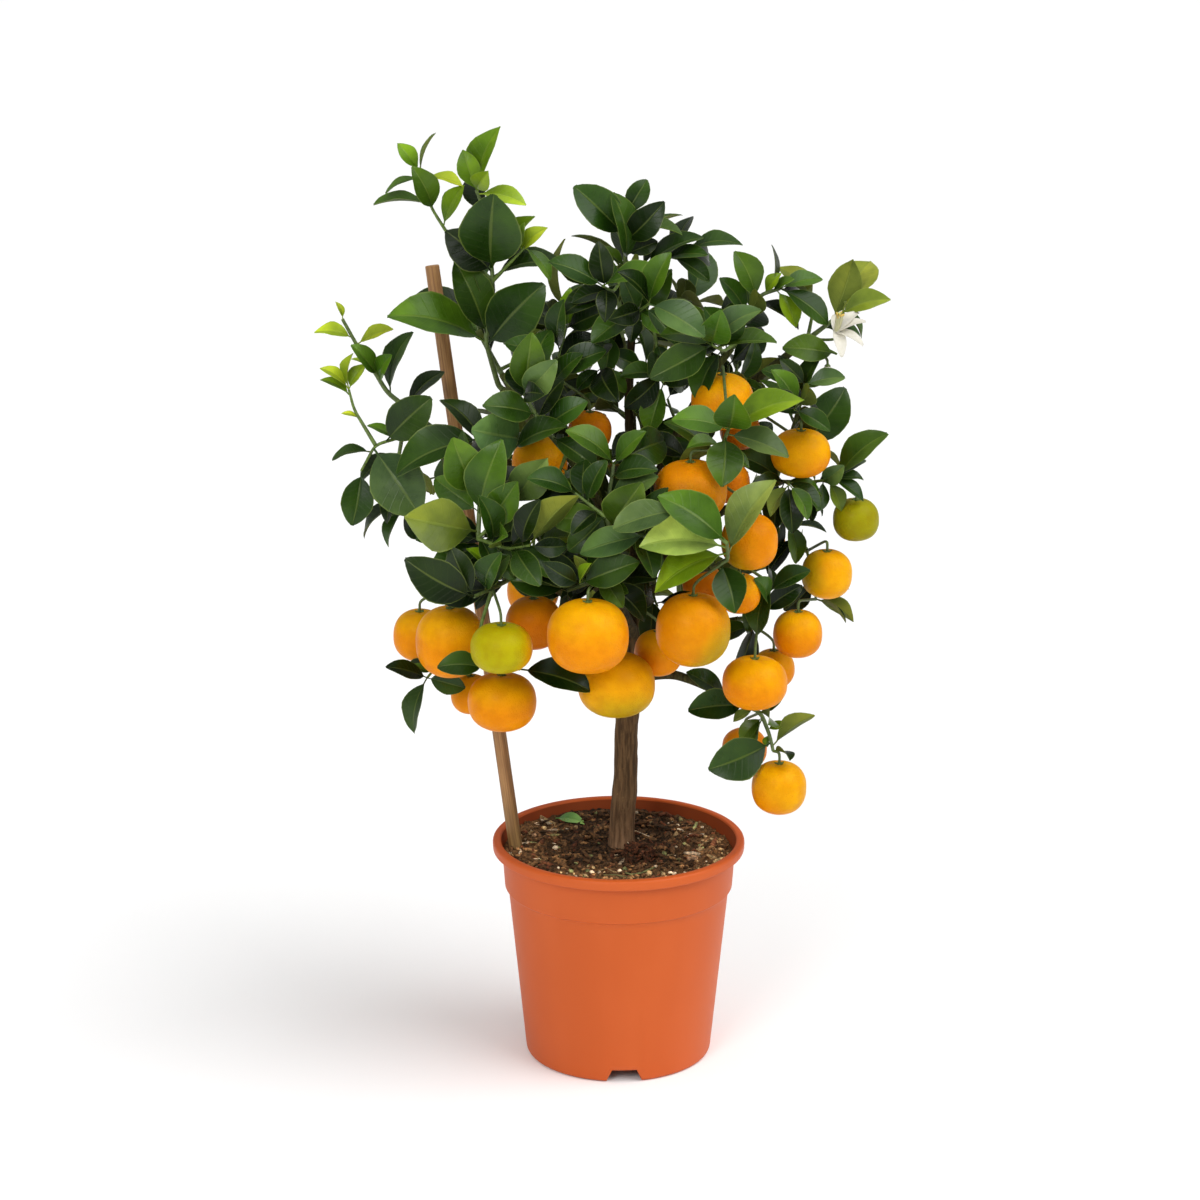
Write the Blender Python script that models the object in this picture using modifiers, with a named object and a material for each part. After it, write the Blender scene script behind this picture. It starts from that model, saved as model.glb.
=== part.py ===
"""Potted calamondin tree: nursery pot, soil, cane stake, trunk, leafy stems, fruit and blossom.

The script works in metres with +Z up. The origin is the centre of the pot's foot, on the
surface that the pot stands on. The plant is seen from -Y, with +X to the right. The lists of
places give millimetres, which MM turns into metres.
"""
import math
import random

import bmesh
import bpy
from mathutils import Matrix, Quaternion, Vector, noise
from mathutils.bvhtree import BVHTree

MM = 0.001
GAP = 0.3 * MM  # between two pieces that touch on the real plant

# Pot
RIM_RADIUS = 85 * MM
RIM_TOP = 151 * MM
RIM_SKIRT = 7 * MM
RIM_WIDTH = 5.8 * MM
BAND_TOP_RADIUS = 78.4 * MM
BAND_FOOT_RADIUS = 76.6 * MM
BAND_FOOT = 118.5 * MM
STEP_FOOT = 114.3 * MM
STEP_RADIUS = 74 * MM
FOOT_RADIUS = 62.6 * MM
FOOT_ROUND = 3 * MM  # of its lower corner
WALL = 2 * MM
FLOOR = 11.5 * MM
ARCH_HEIGHT = 9 * MM  # the floor's underside over the ground
FOOT_RING = 5.5 * MM
BOSS_RADIUS = 20 * MM
POT_SIDES = 24
NOTCHES = 3
NOTCH_FIRST = -86.5
NOTCH_FOOT_WIDTH = 24.4 * MM
NOTCH_TOP_WIDTH = 16.5 * MM
NOTCH_HEIGHT = 8.2 * MM
DRAINS = 6
DRAIN_RADIUS = 5 * MM
DRAIN_SIDES = 6
DRAIN_CIRCLE = 42 * MM

# Soil
SOIL_LEVEL = 141 * MM
SOIL_RELIEF = 2.4 * MM
SOIL_RISE = 0.03  # towards the back
SOIL_RINGS = (14, 28, 42, 56, 68)

# Wood
STAKE_RADIUS = 4.7 * MM
STAKE_TOP = (-122, 40, 532)
STAKE_AT_SOIL = (-69.4, 5, 142)
STAKE_DEPTH = 60 * MM  # how far the stake goes down into the soil
STEM_RADIUS = 1.9  # of a leafy stem, in mm, as are the next four
STEM_TIP_RADIUS = 1.1
TWIG_RADIUS = 1.4
TWIG_TIP_RADIUS = 0.8
STALK_RADIUS = 1.1

# Leaves
LEAF_THICKNESS = 0.7 * MM
LEAF_WIDTH = 0.54  # of its length
PETIOLE = 0.12  # of its length
LEAF_ARCH = 0.07
LEAF_FOLD = 0.22
LEAF_SHOULDERS = (0.36, 0.74)  # where its outline has a corner
LEAF_MIDDLE = 0.52
BLADE_SKEW = 0.95  # below 1 its widest place is nearer its foot
BLADE_FULLNESS = 0.72  # the less, the blunter its ends
CLEARANCE = 1.1 * MM
SEED = 5

# Where the plant is looked at from, which the lists below are given for
VIEWER = Vector((-12.5, -2020, 892)) * MM


def place(point):
    """A place listed in millimetres, in metres."""
    return Vector(point) * MM


# Trunk and limbs

TRUNK = [
    ((2, 12, 72), 8.6),
    ((2, 12, 139), 8.5),
    ((3, 12, 169), 8.2),
    ((5, 12, 187), 8.1),
    ((5, 9, 228), 7.7),
    ((10, 4, 270), 7.4),
    ((14, 0, 317), 5.8),
    ((9, 0, 390), 3.9),
    ((6, 0, 444), 2.9),
    ((8, 0, 500), 2.3),
]

# Each limb starts inside the trunk or another limb and ends where its leafy stem begins.
LIMBS = {
    "left_low": [(13, 1, 300), (-20, -15, 335), (-55, -35, 356), (-80, -52, 366)],
    "low_left": [(10, 4, 275), (-20, -25, 315), (-45, -50, 342), (-62, -62, 350)],
    "left_up": [(13, 0, 325), (-20, 10, 380), (-52, 14, 430), (-76, 11, 456)],
    "left_out": [(-20, 10, 380), (-70, 12, 405), (-118, 4, 430)],
    "front_up": [(12, 0, 345), (-10, -30, 385), (-32, -52, 425)],
    "front": [(14, 0, 312), (6, -35, 342), (0, -66, 362)],
    "low_front": [(12, 2, 290), (0, -30, 322), (-6, -55, 338)],
    "front_right": [(14, 0, 318), (38, -40, 345), (58, -76, 360)],
    "right_mid": [(13, 0, 335), (34, -25, 378), (50, -46, 413)],
    "right_out": [(13, 0, 328), (50, 5, 365), (92, -2, 392), (98, -4, 396)],
    "right_up": [(10, 0, 365), (35, -2, 425), (60, -5, 470), (72, -4, 486)],
    "flower_limb": [(35, -2, 425), (85, 8, 460), (118, 2, 488)],
    "right_low": [(11, 3, 270), (50, 8, 295), (78, -10, 306)],
    "lowest_right": [(9, 5, 262), (35, -10, 269), (50, -11, 264), (66, -15, 257)],
    "back_left": [(12, 2, 300), (-20, 45, 338), (-48, 80, 370)],
    "back_right": [(14, 0, 322), (45, 45, 368), (70, 78, 402)],
    "back_top": [(9, 0, 395), (8, 35, 440), (2, 58, 480)],
    "back_low": [(10, 4, 268), (20, 50, 295), (25, 85, 315)],
    "back_far": [(-20, 10, 380), (-55, 50, 420), (-78, 75, 452)],
}
LIMB_RADII = (3.8, 2.3)

# Leafy stems. The first list of each is the stem, which goes on from the limb's end, and the
# others are its twigs, which start at the numbered point of an earlier list: (list, point).
# A leaf is (share of the way along, length in mm, the way it points as seen from the front
# in degrees clockwise from straight up, its lean towards the front in degrees, and the share
# of its width that the front sees, which is negative where it shows its underside and above
# 1 for a leaf that is broader than the rest by that much).
# The last number is how many more leaves a rule adds.

STEMS = {
    "crown_left": ("left_up", [
        (None, [(-86, -2, 490), (-81, 0, 529), (-85, -5, 573), (-91, -5, 588)], [
            (0.98, 45, 16, 0, 0.6), (0.27, 66, 291, 12, 0.6), (0.25, 60, 40, 20, 1.05),
            (0.3, 52, 341, 5, 0.9), (0.4, 42, 335, -25, 0.5), (0.58, 47, 74, 5, 0.5),
            (0.6, 40, 302, 10, 1.2), (0.62, 60, 3, 32, 1.25), (0.62, 44, 36, 20, 0.6),
            (0.7, 27, 291, 5, 0.5), (0.99, 28, 342, 0, 1), (1, 25, 29, 35, 1),
            (0.98, 32, 96, 15, 0.6), (0.45, 44, 105, -5, 0.7)], 0),
        ((0, 2), [(-104, 5, 549), (-120, 5, 575), (-127, 5, 598)], [
            (1, 23, 324, 0, 0.9), (1, 27, 9, 0, 0.2), (0.95, 27, 97, 10, 0.4),
            (0.95, 25, 255, 5, 0.4), (0.75, 36, 272, 5, 0.35), (0.7, 34, 342, 15, 0.9),
            (0.55, 31, 12, 10, 0.7)], 0),
        ((0, 2), [(-60, -20, 554)], [
            (0.85, 24, 44, 10, 0.8), (1, 26, 137, 10, 0.6)], 0),
    ]),
    "left": ("left_out", [
        (None, [(-150, 0, 456), (-160, -2, 474), (-168, -5, 487), (-177, -10, 506)], [
            (0.85, 25, 283, 5, 0.7), (0.8, 26, 64, 5, 0.6), (0.55, 28, 327, 20, 0.7),
            (0.5, 26, 17, 35, 0.6), (0.39, 44, 14, 5, 0.5), (0.25, 34, 42, 0, 0.5)], 0),
        ((0, 0), [(-140, -14, 430), (-157, -20, 426), (-167, -12, 407)], [
            (0.55, 44, 44, 15, 1.1), (0.7, 54, 142, 25, 1.25), (1, 36, 190, 15, 1.1),
            (0.75, 26, 265, 0, 0.4)], 0),
        ((1, 2), [(-171, -10, 447), (-174, -10, 460)], [
            (1, 24, 3, 0, 0.4), (1, 24, 327, 0, 0.4), (0.9, 22, 305, 5, 0.4)], 0),
        ((1, 1), [(-146, 4, 400), (-143, 18, 372)], [
            (1, 28, 205, -10, 0.5), (0.6, 24, 160, -20, 0.6)], 0),
    ]),
    "front_left": ("left_low", [
        (None, [(-89, -86, 381), (-88, -76, 404), (-86, -45, 436)], [
            (0.4, 50, 288, 25, 1.25), (0.62, 45, 338, 20, 1.1), (0.5, 52, 14, 15, 0.95),
            (0.38, 30, 150, 20, 0.8), (1, 60, 254, 5, 0.7), (0.95, 40, 320, -10, 0.7),
            (0.3, 40, 276, 8, 0.8), (0.15, 38, 252, 20, 0.8)], 0),
        ((0, 2), [(-74, -62, 424), (-62, -50, 437)], [
            (1, 48, 295, 48, 1.3), (0.8, 42, 60, 10, 0.7)], 0),
        ((0, 1), [(-68, -80, 401)], [
            (1, 42, 34, 20, 1.1), (0.35, 40, 28, 25, 1)], 0),
        ((0, 1), [(-70, -104, 379), (-56, -110, 383)], [
            (1, 47, 39, 10, -0.8), (0.6, 34, 100, 20, 0.7), (0.3, 36, 352, 8, 0.7)], 0),
    ]),
    "centre": ("front_up", [
        (None, [(-50, -57, 448), (-60, -60, 468)], [
            (1, 42, 7, 15, 1), (1, 36, 38, 20, 1), (0.5, 34, 41, 15, 0.8),
            (0.7, 40, 290, 20, 0.9), (0.35, 36, 120, 25, 0.8)], 1),
        ((0, 1), [(-42, -38, 475), (-34, -20, 502)], [
            (1, 26, 5, 0, 1), (0.9, 22, 340, -10, 0.7), (0.6, 36, 300, 10, 0.8),
            (0.5, 38, 60, 10, 0.8)], 0),
        ((0, 0), [(-40, -72, 415)], [(1, 27, 84, 5, 0.8)], 0),
    ]),
    "front_mid": ("front", [
        (None, [(-5, -92, 385), (-9, -98, 398), (-4, -82, 428)], [
            (0.72, 36, 57, 15, 0.7), (0.5, 42, 31, 30, 1.2), (0.62, 33, 227, 15, 1.1),
            (1, 38, 315, 15, 0.6), (1, 30, 40, 10, 0.7), (0.9, 34, 80, 20, 0.7)], 1),
        ((0, 0), [(-14, -96, 363), (-25, -116, 360)], [(1, 40, 77, 10, 0.95)], 0),
        ((0, 1), [(17, -107, 389)], [(1, 43, 260, 10, 0.8), (0.9, 34, 20, 10, 0.7)], 0),
        ((0, 2), [(-28, -92, 412)], [(1, 34, 283, 10, 0.75), (0.6, 30, 20, 8, 0.8)], 0),
    ]),
    "low_front": ("low_front", [
        (None, [(-10, -80, 352), (-14, -96, 357), (-33, -100, 351)], [
            (1, 36, 284, 10, 0.95), (0.4, 34, 240, 5, 0.7), (0.35, 36, 130, 0, 0.7)], 2),
    ]),
    "front_right": ("front_right", [
        (None, [(67, -106, 373), (66, -116, 386)], [
            (0.9, 55, 276, 10, 0.8), (1, 52, 310, 5, 0.8), (0.75, 56, 29, 0, 0.6),
            (0.8, 51, 248, 10, 0.65), (0.35, 34, 162, 38, 1.2)], 1),
        ((0, 2), [(52, -118, 399), (37, -120, 408)], [(1, 43, 256, 5, 0.8)], 0),
    ]),
    "right_mid": ("right_mid", [
        (None, [(63, -70, 434), (67, -90, 452)], [
            (1, 34, 6, 40, 1.3), (1, 37, 285, 15, 0.8), (1, 50, 61, 5, 0.6),
            (0.9, 41, 107, 10, 0.75), (0.85, 34, 186, 45, 1.3), (0.6, 30, 232, 5, -0.7),
            (0.65, 28, 240, 15, 0.5), (0.4, 38, 320, -5, 0.7)], 1),
    ]),
    "right": ("right_out", [
        (None, [(112, 3, 428), (117, -14, 455), (118, -28, 467)], [
            (1, 26, 77, 5, 0.8), (0.9, 30, 300, 0, 0.7), (0.7, 36, 340, -15, 0.7),
            (0.8, 30, 20, 5, 0.6)], 0),
        ((0, 2), [(111, -42, 454)], [(1, 26, 115, 20, 0.9), (0.8, 30, 330, 10, 0.8)], 0),
        ((0, 0), [(124, -6, 398), (140, -18, 403)], [
            (1, 44, 44, 0, 0.6), (1, 26, 60, -30, 0.7), (0.9, 22, 100, -10, 0.6),
            (0.75, 24, 27, 30, 1), (0.95, 24, 122, 10, 0.7), (0.85, 22, 152, 20, 0.9),
            (0.65, 26, 190, 15, 0.8)], 0),
        ((0, 0), [(106, -28, 404), (108, -46, 406)], [
            (1, 25, 146, 15, 0.8), (1, 24, 215, 20, -0.8), (0.7, 28, 110, 20, 0.6),
            (0.45, 34, 285, 5, 0.8), (0.6, 32, 195, 5, 0.8)], 0),
        ((0, 0), [(108, 2, 372), (124, 8, 348), (130, 4, 316)], [
            (1, 29, 118, 0, -0.7), (0.5, 32, 220, 0, 0.7), (0.7, 30, 150, -10, 0.7),
            (0.2, 32, 205, 20, 0.9), (0.35, 28, 165, 15, 0.8)], 0),
    ]),
    "crown_mid": ("leader", [
        (None, [(4, 0, 535), (3, 0, 573)], [
            (0.8, 46, 318, 15, 0.95), (0.55, 48, 341, 0, 0.55), (0.97, 30, 56, 20, 1),
            (0.75, 37, 30, 20, 1), (0.85, 37, 79, 10, 0.35), (0.9, 26, 340, 0, 0.6)], 0),
        ((0, 1), [(24, 5, 540), (43, 10, 547)], [
            (1, 36, 79, 0, 0.6), (0.55, 32, 78, 15, 0.5), (0.3, 42, 62, 0, 0.5),
            (0.8, 34, 25, -10, 0.7)], 0),
        ((0, 1), [(-4, -24, 526), (-11, -40, 533)], [
            (1, 40, 76, 10, 0.65), (1, 38, 300, 15, 0.8), (0.6, 36, 250, 20, 0.8),
            (0.9, 30, 352, 15, 1)], 0),
        ((0, 0), [(12, -30, 515), (18, -58, 525)], [
            (1, 42, 116, 25, 0.9), (0.8, 32, 135, 20, 0.8), (1, 36, 20, 10, 0.8),
            (0.6, 38, 240, 20, 0.8)], 0),
        ((0, 0), [(-6, -16, 501), (-12, -26, 477)], [
            (0.5, 27, 187, 15, 1), (1, 20, 232, 10, 0.9), (1, 22, 128, 10, 0.8)], 0),
        ((0, 0), [(22, -12, 500), (28, -24, 467)], [
            (0.5, 28, 165, 10, 0.95), (1, 32, 198, 15, 0.9), (1, 26, 92, 10, 0.7),
            (0.9, 27, 262, 15, 0.8)], 0),
    ]),
    "crown_right": ("right_up", [
        (None, [(82, 0, 508), (90, 0, 520), (103, 0, 524)], [
            (0.45, 30, 327, 10, 0.8), (0.65, 36, 338, 10, 0.9), (0.95, 28, 150, 25, 0.8),
            (1, 38, 122, 10, 0.7), (1, 30, 80, -20, 0.7)], 0),
        ((0, 0), [(66, -34, 490), (57, -58, 499)], [
            (1, 30, 0, 35, 1.25), (1, 38, 47, 10, 0.7), (0.8, 38, 80, 10, 0.5),
            (1, 34, 290, 20, 0.7), (0.6, 36, 200, 25, 0.8)], 1),
    ]),
    "blossom_stem": ("flower_limb", [
        (None, [(132, -2, 500), (143, -3, 509)], [
            (0.75, 41, 18, 6, -1), (1, 52, 36, -34, 0.9), (0.9, 35, 67, 12, 0.7),
            (1, 22, 138, -10, 0.4), (0.5, 30, 100, -25, 0.7)], 0),
        ((0, 0), [(126, 10, 513)], [(1, 34, 331, 0, 0.75)], 0),
        ((0, 0), [(139, -13, 484)], [(1, 36, 268, 12, 0.9)], 0),
    ]),
    "right_low": ("right_low", [
        (None, [(90, -26, 306), (94, -38, 322), (98, -36, 338)], [
            (1, 34, 200, 20, 0.8), (0.9, 30, 60, 0, 0.7), (0.8, 30, 235, 20, 0.8),
            (0.6, 30, 130, 0, 0.7), (0.3, 30, 250, 10, 0.7)], 0),
    ]),
    "lowest_right": ("lowest_right", [
        (None, [(93, -28, 248), (99, -32, 233), (101, -36, 224)], [
            (0.35, 39, 270, 12, 0.9), (0.5, 24, 295, -10, 0.6), (0.55, 28, 35, 25, 0.8),
            (0.1, 32, 290, 15, 0.7), (0.95, 35, 50, 0, -0.6), (0.9, 46, 240, 20, 1.15),
            (0.6, 22, 225, 10, 0.8), (0.6, 25, 180, 20, 0.4)], 0),
    ]),
    "low_left": ("low_left", [
        (None, [(-80, -90, 350), (-91, -106, 349)], [
            (1, 50, 303, 15, 1), (0.6, 34, 20, 10, 0.6), (0.4, 36, 347, 0, 0.95)], 0),
        ((0, 1), [(-88, -92, 325), (-85, -99, 300)], [(1, 30, 279, 15, 0.9)], 0),
        ((1, 2), [(-63, -98, 299)], [(1, 46, 100, 10, 0.7)], 0),
        ((0, 0), [(-100, -38, 338), (-118, -44, 285), (-124, -55, 280)], [
            (1, 38, 197, 5, 0.7), (1, 28, 73, 20, 1), (0.4, 36, 280, -10, 0.7)], 0),
    ]),
    "back_left": ("back_left", [
        (None, [(-62, 100, 388), (-72, 110, 420)], [], 4),
        ((0, 0), [(-80, 82, 372), (-108, 80, 372), (-124, 72, 382)], [], 3),
        ((0, 0), [(-50, 104, 350), (-58, 118, 330)], [], 2),
    ]),
    "back_right": ("back_right", [
        (None, [(78, 92, 425), (80, 96, 455)], [], 4),
        ((0, 0), [(98, 78, 400), (122, 66, 404)], [], 3),
        ((0, 0), [(86, 98, 382), (90, 108, 352)], [], 2),
    ]),
    "back_top": ("back_top", [
        (None, [(0, 66, 505), (4, 58, 535)], [], 4),
        ((0, 0), [(-20, 76, 486), (-44, 76, 498)], [], 3),
        ((0, 0), [(24, 78, 486), (46, 78, 498)], [], 3),
    ]),
    "back_low": ("back_low", [
        (None, [(26, 106, 330), (20, 118, 350)], [], 3),
        ((0, 0), [(48, 100, 305), (68, 92, 300)], [], 2),
        ((0, 0), [(-4, 96, 305), (-26, 96, 296)], [], 2),
    ]),
    "back_far": ("back_far", [
        (None, [(-92, 76, 478), (-98, 66, 505)], [], 4),
        ((0, 0), [(-60, 92, 462), (-44, 100, 450)], [], 2),
    ]),
}

# Fruit: (centre in mm, radius across, radius upright, the stem it hangs from and the
# (list, point) there). Those marked as shown are in plain view from the front.
FRUIT = [
    ((65, -40, 459), 20, 18, "right_mid", (0, 2)),
    ((116, -30, 423), 19, 15.5, "right", (0, 1)),
    ((154, -10, 374), 15, 14, "right", (2, 2)),
    ((135, -20, 340), 16.5, 16, "right", (4, 2)),
    ((116, -32, 303), 16, 15.5, "right", (4, 3)),
    ((87, -62, 279), 21, 17, "right_low", (0, 1)),
    ((102, -8, 272), 14, 13, "right_low", (0, 0)),
    ((46, -97, 325), 23.5, 23, "front_right", (0, 1)),
    ((77, -52, 336), 13.5, 13, "right_low", (0, 3)),
    ((54, -22, 334), 13, 13, "right_low", (0, 2)),
    ((82, -70, 375), 18, 18, "right_mid", (0, 0)),
    ((44, -85, 412), 23, 19, "right_mid", (0, 1)),
    ((70, -36, 405), 13.5, 13, "right_mid", (0, 0)),
    ((78, -2, 432), 13, 13, "right", (0, 1)),
    ((25, -55, 297), 15.5, 15, "low_front", (0, 0)),
    ((-2, -85, 285), 24.5, 20.5, "low_front", (0, 1)),
    ((-20, -125, 329), 25.5, 23, "low_front", (0, 2)),
    ((-108, -70, 309), 22, 23, "low_left", (0, 1)),
    ((-130, -22, 299), 17.5, 17, "low_left", (3, 1)),
    ((-74, -117, 319), 19.5, 15.5, "low_left", (0, 1)),
    ((-75, -80, 272), 22, 18.5, "low_left", (1, 2)),
    ((-97, -32, 262), 13, 13, "low_left", (3, 2)),
    ((-55, -55, 317), 18, 17, "low_front", (0, 1)),
    ((105, -40, 200), 18, 17.5, "lowest_right", (0, 3)),
    ((84, 2, 213), 15, 13.5, "lowest_right", (0, 1)),
    ((-51, -25, 415), 18, 17, "centre", (0, 1)),
    ((-19, -25, 436), 14, 13.5, "centre", (1, 1)),
    ((-59, 112, 291), 18, 16.5, "back_left", (2, 2)),
    ((97, 84, 333), 17, 15, "back_right", (0, 0)),
    ((51, 112, 262), 20, 18, "back_low", (1, 1)),
]
FRUIT_SHOWN = 27  # the first ones of the list
DIMPLE = 1.4 * MM
STALK_RISE = 8 * MM

# Blossom, at the tip of its stem
FLOWER_AT = (138, -20, 500)
FLOWER_FACES = (0.1, -0.35, 0.93)
PETAL_TURNS = [(-78, -0.2), (-32, 0.05), (8, 0.65), (42, 0.75), (88, 0.2)]  # and their rise
PETAL_LENGTH = 20 * MM
PETAL_WIDTH = 0.42
COLUMN_LENGTH = 12 * MM
BUDS = [((133, -17, 473), 3.2, 5), ((121, -12, 490), 2.8, 4.5)]

# Fallen leaf on the soil
FALLEN_FROM = (-43, 52)
FALLEN_TO = (-23, 45)


def paint(name, colour, roughness, metallic=0.0):
    """A Principled material."""
    material = bpy.data.materials.new(name)
    material.use_nodes = True
    shader = material.node_tree.nodes["Principled BSDF"]
    shader.inputs["Base Color"].default_value = (*colour, 1)
    shader.inputs["Roughness"].default_value = roughness
    shader.inputs["Metallic"].default_value = metallic
    material.diffuse_color = (*colour, 1)
    return material


def mesh_object(name, mesh, collection, material=None):
    """An object for a mesh, in a collection."""
    obj = bpy.data.objects.new(name, mesh)
    collection.objects.link(obj)
    if material:
        mesh.materials.clear()
        mesh.materials.append(material)
    return obj


def from_bmesh(name, bm, collection, material=None):
    """An object for a bmesh, which it frees."""
    mesh = bpy.data.meshes.new(name)
    bm.to_mesh(mesh)
    bm.free()
    return mesh_object(name, mesh, collection, material)


def applied(obj):
    """Replaces an object's mesh by the one its modifiers give, and drops them."""
    depsgraph = bpy.context.evaluated_depsgraph_get()
    mesh = bpy.data.meshes.new_from_object(obj.evaluated_get(depsgraph))
    obj.modifiers.clear()
    obj.data = mesh
    return obj


def turned(name, profile, collection, material):
    """A closed body turned about Z from an outline of (radius, height) points."""
    mesh = bpy.data.meshes.new(name)
    points = [(radius, 0, height) for radius, height in profile]
    mesh.from_pydata(points, [(i, i + 1) for i in range(len(points) - 1)], [])
    obj = mesh_object(name, mesh, collection, material)
    screw = obj.modifiers.new("Turn", "SCREW")
    screw.steps = POT_SIDES
    screw.render_steps = POT_SIDES
    screw.use_merge_vertices = True
    screw.merge_threshold = 0.00001
    return applied(obj)


def tube(name, points, radii, sides, collection):
    """A tapered tube through points, closed at both ends, as a mesh."""
    curve = bpy.data.curves.new(name, "CURVE")
    curve.dimensions = "3D"
    curve.bevel_depth = MM
    curve.bevel_resolution = {4: 0, 6: 1, 8: 2}[sides]
    curve.use_fill_caps = True
    spline = curve.splines.new("POLY")
    spline.points.add(len(points) - 1)
    for spot, point, radius in zip(spline.points, points, radii):
        spot.co = (*point, 1)
        spot.radius = radius
    guide = bpy.data.objects.new(name, curve)
    collection.objects.link(guide)
    depsgraph = bpy.context.evaluated_depsgraph_get()
    depsgraph.update()
    mesh = bpy.data.meshes.new_from_object(guide.evaluated_get(depsgraph))
    bpy.data.objects.remove(guide)
    bm = bmesh.new()
    bm.from_mesh(mesh)
    bmesh.ops.remove_doubles(bm, verts=bm.verts, dist=0.00001)
    bmesh.ops.recalc_face_normals(bm, faces=bm.faces)
    bpy.data.meshes.remove(mesh)
    return from_bmesh(name, bm, collection)


def fuse(name, pieces, material, home):
    """One solid from overlapping pieces: the first takes a Boolean union with the rest."""
    body = pieces[0]
    others = bpy.data.collections.new(name + "_pieces")
    bpy.context.scene.collection.children.link(others)
    for piece in pieces[1:]:
        for collection in list(piece.users_collection):
            collection.objects.unlink(piece)
        others.objects.link(piece)
    union = body.modifiers.new("Union", "BOOLEAN")
    union.operation = "UNION"
    union.operand_type = "COLLECTION"
    union.collection = others
    union.solver = "MANIFOLD"
    bpy.context.view_layer.update()
    applied(body)
    for piece in pieces[1:]:
        bpy.data.objects.remove(piece)
    bpy.data.collections.remove(others)
    for collection in list(body.users_collection):
        collection.objects.unlink(body)
    home.objects.link(body)
    body.name = name
    body.data.name = name
    body.data.materials.clear()
    body.data.materials.append(material)
    return body


def subtract(body, cutters):
    """Cuts each cutter out of a body."""
    for cutter in cutters:
        cutter.hide_render = True
        cutter.display_type = "WIRE"
        cut = body.modifiers.new(cutter.name, "BOOLEAN")
        cut.operation = "DIFFERENCE"
        cut.object = cutter
    bpy.context.view_layer.update()
    applied(body)
    for cutter in cutters:
        bpy.data.objects.remove(cutter)
    return body


def smooth(obj, degrees=40):
    """Shades a round piece smooth, with its sharp edges kept."""
    obj.data.shade_smooth()
    obj.data.set_sharp_from_angle(angle=math.radians(degrees))


def cylinder(name, start, end, radius, sides, collection):
    """A straight round bar from one point to another."""
    bm = bmesh.new()
    along = end - start
    bmesh.ops.create_cone(bm, cap_ends=True, segments=sides, radius1=radius, radius2=radius,
                          depth=along.length)
    turn = along.to_track_quat("Z", "Y").to_matrix().to_4x4()
    bmesh.ops.transform(bm, matrix=Matrix.Translation((start + end) / 2) @ turn, verts=bm.verts)
    return from_bmesh(name, bm, collection)


# Pot

def inner_radius(height):
    """The pot's inside radius at a height."""
    if height < STEP_FOOT:
        share = height / STEP_FOOT
        return FOOT_RADIUS - WALL + share * (STEP_RADIUS - FOOT_RADIUS)
    if height < BAND_FOOT:
        share = (height - STEP_FOOT) / (BAND_FOOT - STEP_FOOT)
        return STEP_RADIUS - WALL + share * (BAND_FOOT_RADIUS - STEP_RADIUS)
    share = (height - BAND_FOOT) / (RIM_TOP - BAND_FOOT)
    return BAND_FOOT_RADIUS - WALL + share * (RIM_RADIUS - RIM_WIDTH - BAND_FOOT_RADIUS + WALL)


def pot_profile():
    """The pot's outline from the middle of its floor over the rim to the middle of its foot."""
    edge = 1 * MM
    rim_foot = RIM_TOP - RIM_SKIRT
    ring_inside = FOOT_RADIUS - FOOT_RING
    return [
        (0, FLOOR),
        (inner_radius(FLOOR), FLOOR),
        (inner_radius(STEP_FOOT), STEP_FOOT),
        (inner_radius(BAND_FOOT), BAND_FOOT),
        (RIM_RADIUS - RIM_WIDTH, RIM_TOP),
        (RIM_RADIUS - 1.2 * edge, RIM_TOP),
        (RIM_RADIUS, RIM_TOP - 2 * edge),
        (RIM_RADIUS - 0.6 * edge, rim_foot),
        (BAND_TOP_RADIUS, rim_foot),
        (BAND_FOOT_RADIUS, BAND_FOOT),
        (STEP_RADIUS, STEP_FOOT),
        (FOOT_RADIUS + 0.3 * edge, FOOT_ROUND),
        (FOOT_RADIUS - 0.85 * FOOT_ROUND, 0),
        (ring_inside, 0),
        (ring_inside, ARCH_HEIGHT),
        (BOSS_RADIUS, ARCH_HEIGHT),
        (BOSS_RADIUS, 0),
        (0, 0),
    ]


def notch_cutter(number, collection):
    """A tapered block across the foot ring, which leaves a drain notch."""
    bm = bmesh.new()
    bmesh.ops.create_cube(bm, size=1)
    for vert in bm.verts:
        top = vert.co.z > 0
        width = NOTCH_TOP_WIDTH if top else NOTCH_FOOT_WIDTH
        below = (NOTCH_FOOT_WIDTH - NOTCH_TOP_WIDTH) / NOTCH_HEIGHT * MM
        vert.co.y *= width if top else width + below
        vert.co.x = FOOT_RADIUS - FOOT_RING / 2 + vert.co.x * 3 * FOOT_RING
        vert.co.z = NOTCH_HEIGHT if top else -MM
    turn = Matrix.Rotation(math.radians(NOTCH_FIRST + 360 / NOTCHES * number), 4, "Z")
    bmesh.ops.transform(bm, matrix=turn, verts=bm.verts)
    return from_bmesh(f"notch_{number}", bm, collection)


def make_pot(parts, cutters):
    """The nursery pot with its rolled rim, band, drain notches and drain holes."""
    plastic = paint("terracotta_plastic", (0.63, 0.12, 0.025), 0.45)
    pot = turned("pot", pot_profile(), parts, plastic)
    tools = [notch_cutter(number, cutters) for number in range(NOTCHES)]
    for number in range(DRAINS):
        angle = math.radians(-60 + 360 / DRAINS * number)
        spot = Vector((math.cos(angle), math.sin(angle), 0)) * DRAIN_CIRCLE
        rise = Vector((0, 0, 1))
        low = spot + rise * (ARCH_HEIGHT - 2 * MM)
        high = spot + rise * (FLOOR + 2 * MM)
        tools.append(cylinder(f"drain_{number}", low, high, DRAIN_RADIUS, DRAIN_SIDES, cutters))
    subtract(pot, tools)
    smooth(pot)


# Soil

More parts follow.
